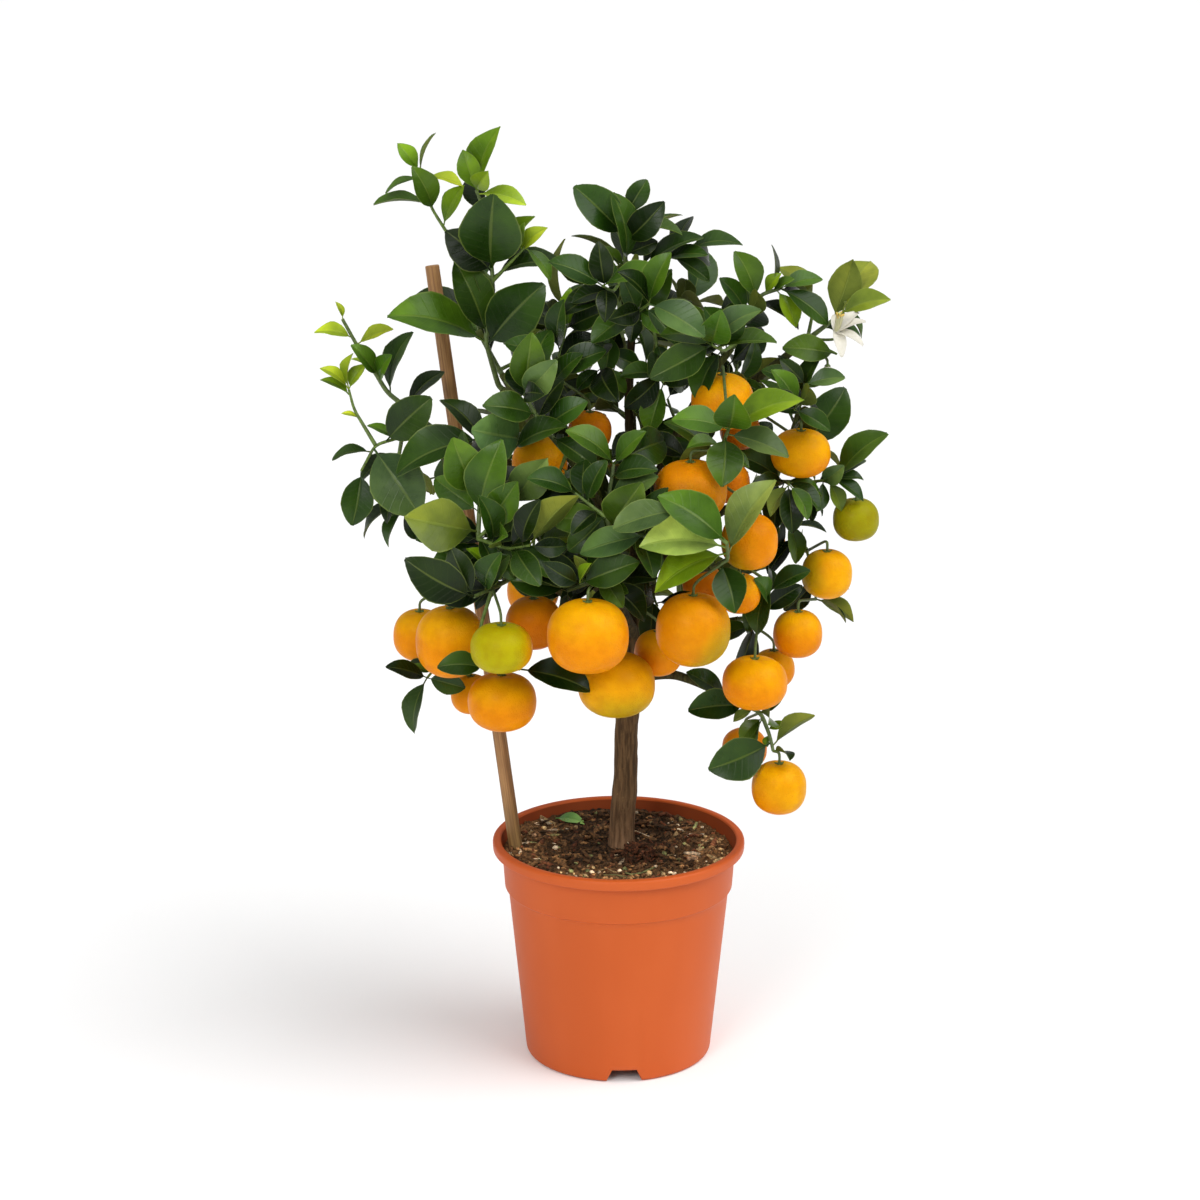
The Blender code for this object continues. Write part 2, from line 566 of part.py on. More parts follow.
def soil_height(x, y):
    """The soil's surface over the ground, loose and lumpy, a little higher at the left."""
    lumps = noise.noise(Vector((x, y, 0)) * 55) + 0.5 * noise.noise(Vector((x, y, 0.3)) * 130)
    return SOIL_LEVEL + SOIL_RELIEF * lumps - 0.015 * x + SOIL_RISE * y


def make_soil(parts, cutters):
    """The root ball and potting mix, with plain holes for the trunk and the stake."""
    earth = paint("potting_soil", (0.045, 0.026, 0.015), 0.95)
    edge_height = SOIL_LEVEL - SOIL_RELIEF
    rings = [(0, SOIL_LEVEL)]
    rings += [(radius * MM, SOIL_LEVEL) for radius in SOIL_RINGS]
    rings += [
        (inner_radius(edge_height) - GAP, edge_height),
        (inner_radius(BAND_FOOT) - GAP, BAND_FOOT),
        (inner_radius(STEP_FOOT) - GAP, STEP_FOOT),
        (inner_radius(FLOOR) - GAP, FLOOR + GAP),
        (0, FLOOR + GAP),
    ]
    soil = turned("soil", rings, parts, earth)
    outermost = SOIL_RINGS[-1] * MM + MM
    for vert in soil.data.vertices:
        if vert.co.z > edge_height + MM and vert.co.xy.length < outermost:
            vert.co.z = soil_height(vert.co.x, vert.co.y)
    foot = place(TRUNK[0][0])
    rise = Vector((0, 0, 1))
    trunk_hole = cylinder("trunk_hole", foot - rise * GAP, foot + rise * 90 * MM,
                          TRUNK[0][1] * MM + 2 * GAP, 12, cutters)
    stake_top, stake_foot = stake_ends()
    down = (stake_foot - stake_top).normalized()
    stake_hole = cylinder("stake_hole", place(STAKE_AT_SOIL) - down * 25 * MM,
                          stake_foot + down * GAP, STAKE_RADIUS + GAP, 10, cutters)
    subtract(soil, [trunk_hole, stake_hole])
    smooth(soil, 60)


# Stake and trunk

def stake_ends():
    """The cane stake's top and its foot down in the soil."""
    top = place(STAKE_TOP)
    ground = place(STAKE_AT_SOIL)
    down = (ground - top).normalized()
    return top, ground + down * STAKE_DEPTH


def make_stake(parts):
    """The round wooden stake that holds the crown, cut flat at its top."""
    top, foot = stake_ends()
    stake = cylinder("stake", foot, top, STAKE_RADIUS, 10, parts)
    stake.data.materials.append(paint("stake_wood", (0.39, 0.19, 0.08), 0.75))
    smooth(stake)


def tapered(points, first, last):
    """Radii from the first to the last, by the length along the points."""
    reach = [0.0]
    for start, end in zip(points, points[1:]):
        reach.append(reach[-1] + (end - start).length)
    return [first + (last - first) * far / reach[-1] for far in reach]


def make_trunk(parts, work):
    """The trunk with its limbs, one grown piece. Each limb ends flat."""
    bark = paint("bark", (0.075, 0.042, 0.022), 0.9)
    points = [place(point) for point, _ in TRUNK]
    pieces = [tube("trunk_tube", points, [radius for _, radius in TRUNK], 8, work)]
    for name, route in LIMBS.items():
        points = [place(point) for point in route]
        pieces.append(tube(name, points, tapered(points, *LIMB_RADII), 4, work))
    trunk = fuse("trunk", pieces, bark, parts)
    smooth(trunk)


# Leaves

def blade_shape(share):
    """Half of a leaf's width at a share of its length, as a part of its widest."""
    if share <= PETIOLE:
        return 0.04
    reach = (share - PETIOLE) / (1 - PETIOLE)
    return max(0.0, math.sin(math.pi * reach ** BLADE_SKEW)) ** BLADE_FULLNESS


class Leaf:
    """One leaf: its root, length and width, and the axes of its blade."""

    def __init__(self, root, axis, normal, length, width, group):
        self.root = root
        self.axis = axis
        self.normal = (normal - axis * normal.dot(axis)).normalized()
        self.across = axis.cross(self.normal)
        self.length = length
        self.width = width
        self.group = group

    def point(self, share, side, lift=0.0):
        """A point of the blade, side -1 to 1 across it, lift along its upper side."""
        half = self.width / 2 * blade_shape(share)
        arch = LEAF_ARCH * self.length * 4 * share * (1 - share)
        rise = arch + LEAF_FOLD * half * abs(side) + lift
        return (self.root + self.axis * self.length * share + self.across * half * side
                + self.normal * rise)


def blade_mesh(leaf, half_thickness, from_share=0.0):
    """Corners and triangles of a closed blade: a fan round its middle on each face."""
    near, far = (from_share + (1 - from_share) * share for share in LEAF_SHOULDERS)
    middle = from_share + (1 - from_share) * LEAF_MIDDLE
    outline = [(from_share, 0), (near, -1), (far, -1), (1, 0), (far, 1), (near, 1)]
    layer = len(outline) + 1
    corners = []
    for lift in (half_thickness, -half_thickness):
        corners += [leaf.point(share, side, lift) for share, side in outline]
        corners.append(leaf.point(middle, 0, lift))
    faces = []
    for corner in range(len(outline)):
        after = (corner + 1) % len(outline)
        faces.append((layer - 1, after, corner))
        faces.append((2 * layer - 1, corner + layer, after + layer))
        faces.append((corner, after, after + layer))
        faces.append((corner, after + layer, corner + layer))
    return corners, faces


def blade_tree(leaf, half_thickness, from_share):
    """A tree of the blade's faces, for finding what it meets."""
    corners, faces = blade_mesh(leaf, half_thickness, from_share)
    return BVHTree.FromPolygons(corners, faces)


def direction(bearing, lean):
    """A way to point, given as seen from the front."""
    bearing, lean = math.radians(bearing), math.radians(lean)
    return Vector((math.sin(bearing) * math.cos(lean), -math.sin(lean),
                   math.cos(bearing) * math.cos(lean)))


def facing(axis, share):
    """A blade's normal that shows a share of its width to the front, the rest upwards."""
    front = Vector((0, -1, 0.2))
    front = (front - axis * front.dot(axis)).normalized()
    side = axis.cross(front)
    if side.z < 0:
        side = -side
    return front * share + side * math.sqrt(1 - share * share)


def inside_fruit(point, margin):
    """Whether a point is in a fruit or within a margin of it."""
    for centre, across, upright, *_ in FRUIT:
        off = point - place(centre)
        wide = across * MM + margin
        high = upright * MM + margin
        if (off.x / wide) ** 2 + (off.y / wide) ** 2 + (off.z / high) ** 2 < 1:
            return True
    return False


def hides_fruit(leaf):
    """Whether a leaf stands between the viewer and a fruit that is in plain view."""
    for share in (0.35, 0.6, 0.95):
        point = leaf.point(share, 0)
        sight = (point - VIEWER).normalized()
        for centre, across, *_ in FRUIT[:FRUIT_SHOWN]:
            off = place(centre) - VIEWER
            along = off.dot(sight)
            nearer = (point - VIEWER).length < along
            if nearer and (off - sight * along).length < across * MM * 1.15:
                return True
    return False


class Crown:
    """What is placed so far: the wood and the leaves, with a tree of faces for each."""

    def __init__(self):
        self.wood = []
        self.leaves = []

    def add_wood(self, obj, group):
        """Takes a tube of wood in."""
        corners = [vert.co.copy() for vert in obj.data.vertices]
        faces = [tuple(face.vertices) for face in obj.data.polygons]
        self.wood.append((BVHTree.FromPolygons(corners, faces), group))

    def is_clear(self, leaf):
        """Whether a leaf keeps clear of fruit, wood and the leaves placed before it."""
        for share in (0.3, 0.5, 0.75, 1.0):
            for side in (-1, 0, 1):
                if inside_fruit(leaf.point(share, side), 2 * MM):
                    return False
        whole = blade_tree(leaf, CLEARANCE, 0.0)
        outer = blade_tree(leaf, CLEARANCE, 0.25)
        for tree, group in self.wood:
            if (outer if group == leaf.group else whole).overlap(tree):
                return False
        middle = leaf.point(0.5, 0)
        for other, tree in self.leaves:
            reach = (leaf.length + other.length) / 2 + 2 * MM
            if (other.point(0.5, 0) - middle).length > reach:
                continue
            if (outer if other.group == leaf.group else whole).overlap(tree):
                return False
        return True

    def add_leaf(self, leaf):
        """Takes a leaf in."""
        self.leaves.append((leaf, blade_tree(leaf, LEAF_THICKNESS / 2, 0.0)))


# Ways to bend a leaf that would cross something: more bearing, more lean, length kept
BENDS = [(0, 0, 1), (12, 0, 1), (-12, 0, 1), (0, 14, 1), (0, -14, 1), (14, 14, 1),
         (-14, 14, 1), (14, -14, 1), (-14, -14, 1), (26, 0, 0.95), (-26, 0, 0.95),
         (0, 28, 0.95), (0, -28, 0.95), (24, 26, 0.9), (-24, 26, 0.9), (24, -26, 0.9),
         (-24, -26, 0.9), (40, 10, 0.85), (-40, 10, 0.85), (40, -20, 0.8), (-40, -20, 0.8)]


def along(route, share):
    """A point at a share of a route's length, and the way the route goes there."""
    total = sum((end - start).length for start, end in zip(route, route[1:]))
    left = share * total
    for start, end in zip(route, route[1:]):
        step = (end - start).length
        if left <= step or end is route[-1]:
            return start + (end - start) * min(1, left / step), (end - start).normalized()
        left -= step


def routes_of(name):
    """The stem and twigs of a leafy stem as lists of points, the stem from its limb's end."""
    limb, lists = STEMS[name]
    ends = [point for point, _ in TRUNK] if limb == "leader" else LIMBS[limb]
    end = place(ends[-1])
    onward = (end - place(ends[-2])).normalized()
    routes = []
    for start, points, _, _ in lists:
        if start is None:
            first = [end + onward * GAP, end + onward * 4 * MM]
        else:
            row, number = start
            first = [routes[row][number + 1] if row == 0 else routes[row][number]]
        routes.append(first + [place(point) for point in points])
    return routes


def listed_leaves(name, routes, crown):
    """The leaves that the lists give, each bent clear where it would cross something."""
    for (_, _, leaves, _), route in zip(STEMS[name][1], routes):
        for share, length, bearing, lean, face in leaves:
            root, _ = along(route, share)
            for turn, tilt, keep in BENDS:
                axis = direction(bearing + turn, lean + tilt)
                size = length * MM * keep
                width = size * LEAF_WIDTH * max(1, face)
                leaf = Leaf(root, axis, facing(axis, min(1, face)), size, width, name)
                if crown.is_clear(leaf):
                    crown.add_leaf(leaf)
                    break


def rule_leaves(name, routes, crown, draw):
    """Leaves set round each twig in a spiral, as many as its list asks for."""
    for (_, _, _, count), route in zip(STEMS[name][1], routes):
        for number in range(count):
            share = 1 - 0.8 * number / max(count, 4)
            root, onward = along(route, share)
            turn = math.radians(137.5 * number + draw.uniform(-20, 20))
            side = onward.orthogonal().normalized()
            side.rotate(Quaternion(onward, turn))
            length = draw.uniform(38, 52) * MM
            width = length * draw.uniform(0.46, 0.56)
            roll = math.radians(draw.uniform(-25, 25))
            for spread in (55, 70, 40, 85):
                angle = math.radians(spread)
                axis = (onward * math.cos(angle) + side * math.sin(angle)).normalized()
                outward = Vector((root.x, root.y, 0)).normalized()
                normal = outward * 0.8 + Vector((0, -0.5, 0.8))
                normal.rotate(Quaternion(axis, roll))
                leaf = Leaf(root, axis, normal, length, width, name)
                if not hides_fruit(leaf) and crown.is_clear(leaf):
                    crown.add_leaf(leaf)
                    break


# Fruit

def stalk_route(fruit, routes):
    """A fruit stalk from its twig, over the fruit, down into the dimple on its top."""
    centre, _, upright, _, (row, number) = fruit
    route = routes[row]
    root = route[number + 1] if row == 0 else route[number]
    top = place(centre) + Vector((0, 0, upright * MM - DIMPLE + GAP))
    over = top + Vector((0, 0, STALK_RISE))
    return [root, over, top]


def make_fruit(number, fruit, parts, skin):
    """One calamondin: a flattened globe with a dimple at its stalk."""
    centre, across, upright, *_ = fruit
    bm = bmesh.new()
    bmesh.ops.create_uvsphere(bm, u_segments=8, v_segments=5, radius=1)
    top = max(bm.verts, key=lambda vert: vert.co.z)
    bmesh.ops.scale(bm, vec=(across * MM, across * MM, upright * MM), verts=bm.verts)
    top.co.z -= DIMPLE
    bmesh.ops.translate(bm, vec=place(centre), verts=bm.verts)
    obj = from_bmesh(f"fruit_{number:02d}", bm, parts, skin)
    smooth(obj)


# Blossom

def make_flower(parts, work):
    """The open blossom: five thick petals round a column of stamens."""
    petal_white = paint("petal", (0.85, 0.83, 0.74), 0.6)
    centre = place(FLOWER_AT)
    faces = Vector(FLOWER_FACES).normalized()
    pieces = [cylinder("column", centre - faces * 2 * MM, centre + faces * COLUMN_LENGTH,
                       1.9 * MM, 8, work)]
    for number, (turn, rise) in enumerate(PETAL_TURNS):
        spoke = Vector((math.cos(math.radians(turn)), math.sin(math.radians(turn)), 0))
        spoke = (spoke - faces * spoke.dot(faces)).normalized()
        axis = (spoke + faces * rise).normalized()
        petal = Leaf(centre, axis, faces, PETAL_LENGTH, PETAL_LENGTH * PETAL_WIDTH, "flower")
        corners, triangles = blade_mesh(petal, LEAF_THICKNESS / 2)
        mesh = bpy.data.meshes.new(f"petal_{number}")
        mesh.from_pydata(corners, [], triangles)
        pieces.append(mesh_object(f"petal_{number}", mesh, work))
    fuse("flower", pieces, petal_white, parts)
    for number, (spot, across, upright) in enumerate(BUDS, 1):
        bm = bmesh.new()
        bmesh.ops.create_uvsphere(bm, u_segments=8, v_segments=5, radius=1)
        bmesh.ops.scale(bm, vec=(across * MM, across * MM, upright * MM), verts=bm.verts)
        bmesh.ops.translate(bm, vec=place(spot), verts=bm.verts)
        smooth(from_bmesh(f"flower_bud_{number}", bm, parts, petal_white))


def flower_stalks(start):
    """Routes of the stalks that carry the blossom and its buds."""
    back = -Vector(FLOWER_FACES).normalized()
    behind = place(FLOWER_AT) + back * (2 * MM + GAP)
    routes = [[start, behind + back * 4 * MM, behind]]
    for spot, _, upright in BUDS:
        top = place(spot) + Vector((0, 0, upright * MM + GAP))
        routes.append([start, top + Vector((0, 2 * MM, 3 * MM)), top])
    return routes


# Leafy stems

def make_leafy_stems(parts, work):
    """The leafy stems: each is one solid of twigs, fruit stalks and leaves."""
    green = paint("leaf", (0.045, 0.12, 0.018), 0.4)
    crown = Crown()
    for name in ("trunk", "stake", "flower", "flower_bud_1", "flower_bud_2"):
        crown.add_wood(bpy.data.objects[name], name)
    woods = {}
    all_routes = {}
    for name in STEMS:
        routes = routes_of(name)
        all_routes[name] = routes
        tubes = []
        for number, route in enumerate(routes):
            first, last = (STEM_RADIUS, STEM_TIP_RADIUS) if number == 0 else (
                TWIG_RADIUS, TWIG_TIP_RADIUS)
            tubes.append(tube(f"{name}_twig_{number}", route, tapered(route, first, last),
                              4, work))
        stalks = [stalk_route(fruit, routes) for fruit in FRUIT if fruit[3] == name]
        if name == "blossom_stem":
            stalks += flower_stalks(routes[0][1])
        for number, route in enumerate(stalks):
            radii = [STALK_RADIUS] * len(route)
            tubes.append(tube(f"{name}_stalk_{number}", route, radii, 4, work))
        for piece in tubes:
            crown.add_wood(piece, name)
        woods[name] = tubes
    for name in STEMS:
        listed_leaves(name, all_routes[name], crown)
    for name in STEMS:
        rule_leaves(name, all_routes[name], crown, random.Random(SEED + len(name)))
    for name in STEMS:
        blades = []
        for leaf, _ in crown.leaves:
            if leaf.group == name:
                corners, triangles = blade_mesh(leaf, LEAF_THICKNESS / 2)
                mesh = bpy.data.meshes.new(f"{name}_leaf")
                mesh.from_pydata(corners, [], triangles)
                blades.append(mesh_object(f"{name}_leaf", mesh, work))
        fuse("leafy_stem_" + name, woods[name] + blades, green, parts)


def make_fallen_leaf(parts):
    """The dry leaf that lies on the soil, as low as the soil lets it."""
    faded = paint("faded_leaf", (0.16, 0.2, 0.08), 0.7)
    soil = bpy.data.objects["soil"].data
    ground = BVHTree.FromPolygons([vert.co for vert in soil.vertices],
                                  [tuple(face.vertices) for face in soil.polygons])
    ends = []
    for spot in (FALLEN_FROM, FALLEN_TO):
        x, y = Vector(spot) * MM
        ends.append(Vector((x, y, soil_height(x, y))))
    along_soil = ends[1] - ends[0]
    leaf = Leaf(ends[0], along_soil.normalized(), Vector((0, 0, 1)), along_soil.length,
                along_soil.length * LEAF_WIDTH, "fallen")
    corners, triangles = blade_mesh(leaf, LEAF_THICKNESS / 2)
    down = Vector((0, 0, -1))
    heights = [corner.z - ground.ray_cast(corner - 100 * MM * down, down)[0].z
               for corner in corners]
    lift = Vector((0, 0, 1.5 * GAP - min(heights)))
    mesh = bpy.data.meshes.new("fallen_leaf")
    mesh.from_pydata([corner + lift for corner in corners], [], triangles)
    mesh_object("fallen_leaf", mesh, parts, faded)


def main():
    """Builds the whole plant in its pot."""
    for obj in list(bpy.data.objects):
        bpy.data.objects.remove(obj)
    parts = bpy.data.collections.new("potted_calamondin")
    work = bpy.data.collections.new("cutters")
    for collection in (parts, work):
        bpy.context.scene.collection.children.link(collection)
    make_pot(parts, work)
    make_soil(parts, work)
    make_stake(parts)
    make_trunk(parts, work)
    make_flower(parts, work)
    make_leafy_stems(parts, work)
    skin = paint("calamondin_skin", (0.9, 0.33, 0.015), 0.4)
    for number, fruit in enumerate(FRUIT, 1):
        make_fruit(number, fruit, parts, skin)
    make_fallen_leaf(parts)


main()
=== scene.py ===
"""Looks of the potted calamondin tree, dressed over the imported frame.

Metres, +Z up, origin at the centre of the pot's foot. The plant is seen from -Y with +X to
the right. Lists of places give millimetres, as the part's own source does.
"""
import math
import random

import bmesh
import bpy
from mathutils import Matrix, Quaternion, Vector, noise
from mathutils.bvhtree import BVHTree


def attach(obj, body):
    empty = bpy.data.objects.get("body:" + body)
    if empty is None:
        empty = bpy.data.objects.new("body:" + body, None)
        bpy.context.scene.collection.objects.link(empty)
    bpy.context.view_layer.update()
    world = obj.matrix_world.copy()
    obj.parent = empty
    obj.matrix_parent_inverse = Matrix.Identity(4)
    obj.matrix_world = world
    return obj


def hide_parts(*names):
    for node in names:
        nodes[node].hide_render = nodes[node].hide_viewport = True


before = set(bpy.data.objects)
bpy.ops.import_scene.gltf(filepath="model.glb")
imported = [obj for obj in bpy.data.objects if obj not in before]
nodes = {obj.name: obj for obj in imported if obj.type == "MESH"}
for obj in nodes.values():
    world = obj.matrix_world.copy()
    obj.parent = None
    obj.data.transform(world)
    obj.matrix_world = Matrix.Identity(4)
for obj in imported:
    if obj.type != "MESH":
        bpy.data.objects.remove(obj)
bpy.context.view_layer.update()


# The nursery pot, injection-moulded in terracotta-coloured polypropylene: a thin tapered cup
# with a turned-down rim, a wider band below it, and three drain notches through its foot ring.

MM = 0.001
RIM_RADIUS = 85 * MM
RIM_TOP = 151 * MM
RIM_SKIRT = 7 * MM
RIM_WIDTH = 5.8 * MM
BAND_TOP_RADIUS = 78.4 * MM
BAND_FOOT_RADIUS = 76.6 * MM
BAND_FOOT = 118.5 * MM
STEP_FOOT = 114.3 * MM
STEP_RADIUS = 74 * MM
FOOT_RADIUS = 62.6 * MM
FOOT_ROUND = 3.2 * MM
WALL = 2 * MM
FLOOR = 11.5 * MM
ARCH_HEIGHT = 9 * MM
FOOT_RING = 5.5 * MM
RING_INSIDE = FOOT_RADIUS - FOOT_RING
BOSS_RADIUS = 20 * MM
NOTCHES = 3
NOTCH_FIRST = -86.5
NOTCH_FOOT_WIDTH = 24.4 * MM
NOTCH_TOP_WIDTH = 16.5 * MM
NOTCH_FOOT_TURN = math.degrees(NOTCH_FOOT_WIDTH / 2 / FOOT_RADIUS)  # half its width, in degrees
NOTCH_TOP_TURN = math.degrees(NOTCH_TOP_WIDTH / 2 / FOOT_RADIUS)
NOTCH_HEIGHT = 8.2 * MM
NOTCH_BLEND = 30 * MM  # how far up the wall the rows make room for a notch
SOFT_EDGE = 1.4 * MM
OUTLINE_PIECES = 5  # of each rounded corner
# How many upright lines the wall has beside a notch, along its slanted side and over it
WALL_LINES = (18, 3, 4)
DRAINS = 6
FIRST_DRAIN = -60
DRAIN_RADIUS = 5 * MM
DRAIN_CIRCLE = 42 * MM
TERRACOTTA = (0.53, 0.090, 0.010)
TERRACOTTA_PALE = (0.56, 0.100, 0.014)
# Painted shade on the inside of the wall, up to just under the rim: its colour darkened to this share
INSIDE_PAINTED_SHADE_SHARE = 0.5  # of the wall's brightness, inside
INSIDE_PAINTED_SHADE_TO = RIM_TOP - 1.5 * MM


def add_object(name, mesh):
    """A new object for a mesh, in the scene."""
    obj = bpy.data.objects.new(name, mesh)
    bpy.context.scene.collection.objects.link(obj)
    return obj


def object_of(name, bm):
    """A new object for a shape that has been put together, in the scene."""
    mesh = bpy.data.meshes.new(name)
    bm.to_mesh(mesh)
    bm.free()
    return add_object(name, mesh)


def shade(obj, degrees):
    """Shades a piece smooth and keeps edges sharper than this angle."""
    obj.data.shade_smooth()
    obj.data.set_sharp_from_angle(angle=math.radians(degrees))


def new_material(name, colour, roughness):
    """A Principled material: its node tree and its shader come back with it."""
    material = bpy.data.materials.new(name)
    material.use_nodes = True
    tree = material.node_tree
    shader = tree.nodes["Principled BSDF"]
    shader.inputs["Base Color"].default_value = (*colour, 1)
    shader.inputs["Roughness"].default_value = roughness
    return material, tree, shader


def add_node(tree, kind, settings=None, **inputs):
    """A shader node with its settings and input values; a linked input takes a socket."""
    made = tree.nodes.new(kind)
    for key, value in (settings or {}).items():
        setattr(made, key, value)
    for key, value in inputs.items():
        socket = made.inputs[int(key[1:])] if key[1:].isdigit() else made.inputs[key]
        if isinstance(value, bpy.types.NodeSocket):
            tree.links.new(value, socket)
        else:
            socket.default_value = value
    return made


def place_of(tree, stretch=(1, 1, 1), turn=(0, 0, 0)):
    """The point on the object, stretched along its axes, as a socket."""
    where = add_node(tree, "ShaderNodeTexCoord")
    mapped = add_node(tree, "ShaderNodeMapping", Vector=where.outputs["Object"],
                      Scale=stretch, Rotation=turn)
    return mapped.outputs["Vector"]


def grain(tree, where, scale, detail=3.0, roughness=0.55):
    """Noise from 0 to 1 at a scale per metre, as a socket."""
    made = add_node(tree, "ShaderNodeTexNoise", Vector=where, Scale=scale, Detail=detail,
                    Roughness=roughness)
    return made.outputs["Fac"]


def steps(tree, value, low, high):
    """A value spread from 0 at low to 1 at high, as a socket."""
    made = add_node(tree, "ShaderNodeMapRange", {"interpolation_type": "SMOOTHSTEP"}, Value=value)
    made.inputs["From Min"].default_value = low
    made.inputs["From Max"].default_value = high
    return made.outputs["Result"]


def blend_colour(tree, share, first, second, kind="MIX"):
    """Two colours mixed by a share, as a socket."""
    made = add_node(tree, "ShaderNodeMix", {"data_type": "RGBA", "blend_type": kind})
    for number, value in ((0, share), (6, first), (7, second)):
        socket = made.inputs[number]
        if isinstance(value, bpy.types.NodeSocket):
            tree.links.new(value, socket)
        elif number:
            socket.default_value = (*value, 1)
        else:
            socket.default_value = value
    return made.outputs[2]


def math_of(tree, operation, first, second=0.0):
    """A sum, product or the like of two values, as a socket."""
    made = add_node(tree, "ShaderNodeMath", {"operation": operation}, _0=first, _1=second)
    return made.outputs[0]


def roughen(tree, shader, height, distance):
    """Feeds a height into the shader's bump."""
    bump = add_node(tree, "ShaderNodeBump", Height=height, Distance=distance, Strength=1.0)
    tree.links.new(bump.outputs["Normal"], shader.inputs["Normal"])


def clamped(value):
    """A value kept between 0 and 1."""
    return max(0.0, min(1.0, value))


def rounded_corner(before, corner, after, cut, most, pieces):
    """Points of a small curve that cuts a corner off, and at most a share of each side."""
    near = min(cut, most * (corner - before).length)
    far = min(cut, most * (after - corner).length)
    start = corner + (before - corner).normalized() * near
    end = corner + (after - corner).normalized() * far
    shares = [step / pieces for step in range(pieces + 1)]
    return [start.lerp(corner, share).lerp(corner.lerp(end, share), share) for share in shares]


def rounded_outline(corners):
    """Points of an outline of (radius, height, fillet) corners, each corner rounded."""
    spots = [Vector((radius, height)) for radius, height, _ in corners]
    outline = [spots[0]]
    for number in range(1, len(corners) - 1):
        fillet = corners[number][2]
        outline += rounded_corner(*spots[number - 1:number + 2], fillet, 0.45, OUTLINE_PIECES)
    return outline + [spots[-1]]


def inner_radius(height):
    """The pot's inside radius at a height."""
    if height < STEP_FOOT:
        share = height / STEP_FOOT
        return FOOT_RADIUS - WALL + share * (STEP_RADIUS - FOOT_RADIUS)
    if height < BAND_FOOT:
        share = (height - STEP_FOOT) / (BAND_FOOT - STEP_FOOT)
        return STEP_RADIUS - WALL + share * (BAND_FOOT_RADIUS - STEP_RADIUS)
    share = (height - BAND_FOOT) / (RIM_TOP - BAND_FOOT)
    return BAND_FOOT_RADIUS - WALL + share * (RIM_RADIUS - RIM_WIDTH - BAND_FOOT_RADIUS + WALL)


def pot_outline():
    """The pot's section, from the middle of its floor over the rim to under its middle."""
    rim_foot = RIM_TOP - RIM_SKIRT
    return rounded_outline([
        (0, FLOOR, 0),
        (inner_radius(FLOOR), FLOOR, 2 * SOFT_EDGE),
        (inner_radius(STEP_FOOT), STEP_FOOT, SOFT_EDGE),
        (inner_radius(BAND_FOOT), BAND_FOOT, SOFT_EDGE),
        (RIM_RADIUS - RIM_WIDTH, RIM_TOP, SOFT_EDGE),
        (RIM_RADIUS - 0.2 * MM, RIM_TOP, 2 * SOFT_EDGE),
        (RIM_RADIUS - 0.6 * MM, rim_foot, 0.8 * SOFT_EDGE),
        (BAND_TOP_RADIUS, rim_foot, 0.8 * SOFT_EDGE),
        (BAND_FOOT_RADIUS, BAND_FOOT, 0.5 * MM),
        (STEP_RADIUS + 0.9 * MM, BAND_FOOT - 1.3 * MM, 0.5 * MM),
        (STEP_RADIUS, STEP_FOOT, 1.6 * SOFT_EDGE),
        (FOOT_RADIUS, 0, FOOT_ROUND),
        (RING_INSIDE, 0, 0.4 * SOFT_EDGE),
        (RING_INSIDE - 1 * MM, ARCH_HEIGHT, 0.8 * SOFT_EDGE),
        (BOSS_RADIUS + 0.5 * MM, ARCH_HEIGHT, 0.8 * SOFT_EDGE),
        (BOSS_RADIUS, 0, 0.3 * SOFT_EDGE),
        (0, 0, 0),
    ])


def notch_rise(turn):
    """How high a notch lifts the foot at a turn, in degrees, from the notch's middle."""
    return NOTCH_HEIGHT * clamped((NOTCH_FOOT_TURN - abs(turn)) / (NOTCH_FOOT_TURN - NOTCH_TOP_TURN))


def sector_turns():
    """The turns, in degrees, of the pot's wall lines round one notch."""
    turns = (180 / NOTCHES, NOTCH_FOOT_TURN, NOTCH_TOP_TURN, 0)
    side = []
    for wide, narrow, count in zip(turns, turns[1:], WALL_LINES):
        side += [wide - (wide - narrow) * step / count for step in range(count)]
    return [-turn for turn in side] + [0.0] + side[:0:-1]


def turned_pot():
    """The pot: its outline turned round Z, lifted at the notches."""
    bm = bmesh.new()
    outline = pot_outline()
    turns = []
    for number in range(NOTCHES):
        middle = NOTCH_FIRST + 360 / NOTCHES * number
        turns += [(middle + turn, notch_rise(turn)) for turn in sector_turns()]
    first = bm.verts.new((0, 0, outline[0].y))
    last = bm.verts.new((0, 0, outline[-1].y))
    lines = []
    outer_from = next(i for i, spot in enumerate(outline) if spot.x > RIM_RADIUS - MM)
    for turn, rise in turns:
        angle = math.radians(turn)
        line = []
        for number, (radius, height) in enumerate(outline[1:-1], 1):
            if number > outer_from and height < NOTCH_BLEND and radius > RING_INSIDE - FOOT_RING:
                lift = rise * (1 - height / NOTCH_BLEND)
                if height < ARCH_HEIGHT - MM or radius > RING_INSIDE:
                    height += lift
                    radius += lift * (STEP_RADIUS - FOOT_RADIUS) / STEP_FOOT
            height = min(height, ARCH_HEIGHT) if radius < RING_INSIDE else height
            line.append(bm.verts.new((radius * math.cos(angle), radius * math.sin(angle), height)))
        lines.append(line)
    for line, after in zip(lines, lines[1:] + lines[:1]):
        bm.faces.new((first, line[0], after[0]))
        bm.faces.new((last, after[-1], line[-1]))
        for row in range(len(line) - 1):
            bm.faces.new((line[row], line[row + 1], after[row + 1], after[row]))
    bmesh.ops.recalc_face_normals(bm, faces=bm.faces)
    return object_of("pot_shell", bm)


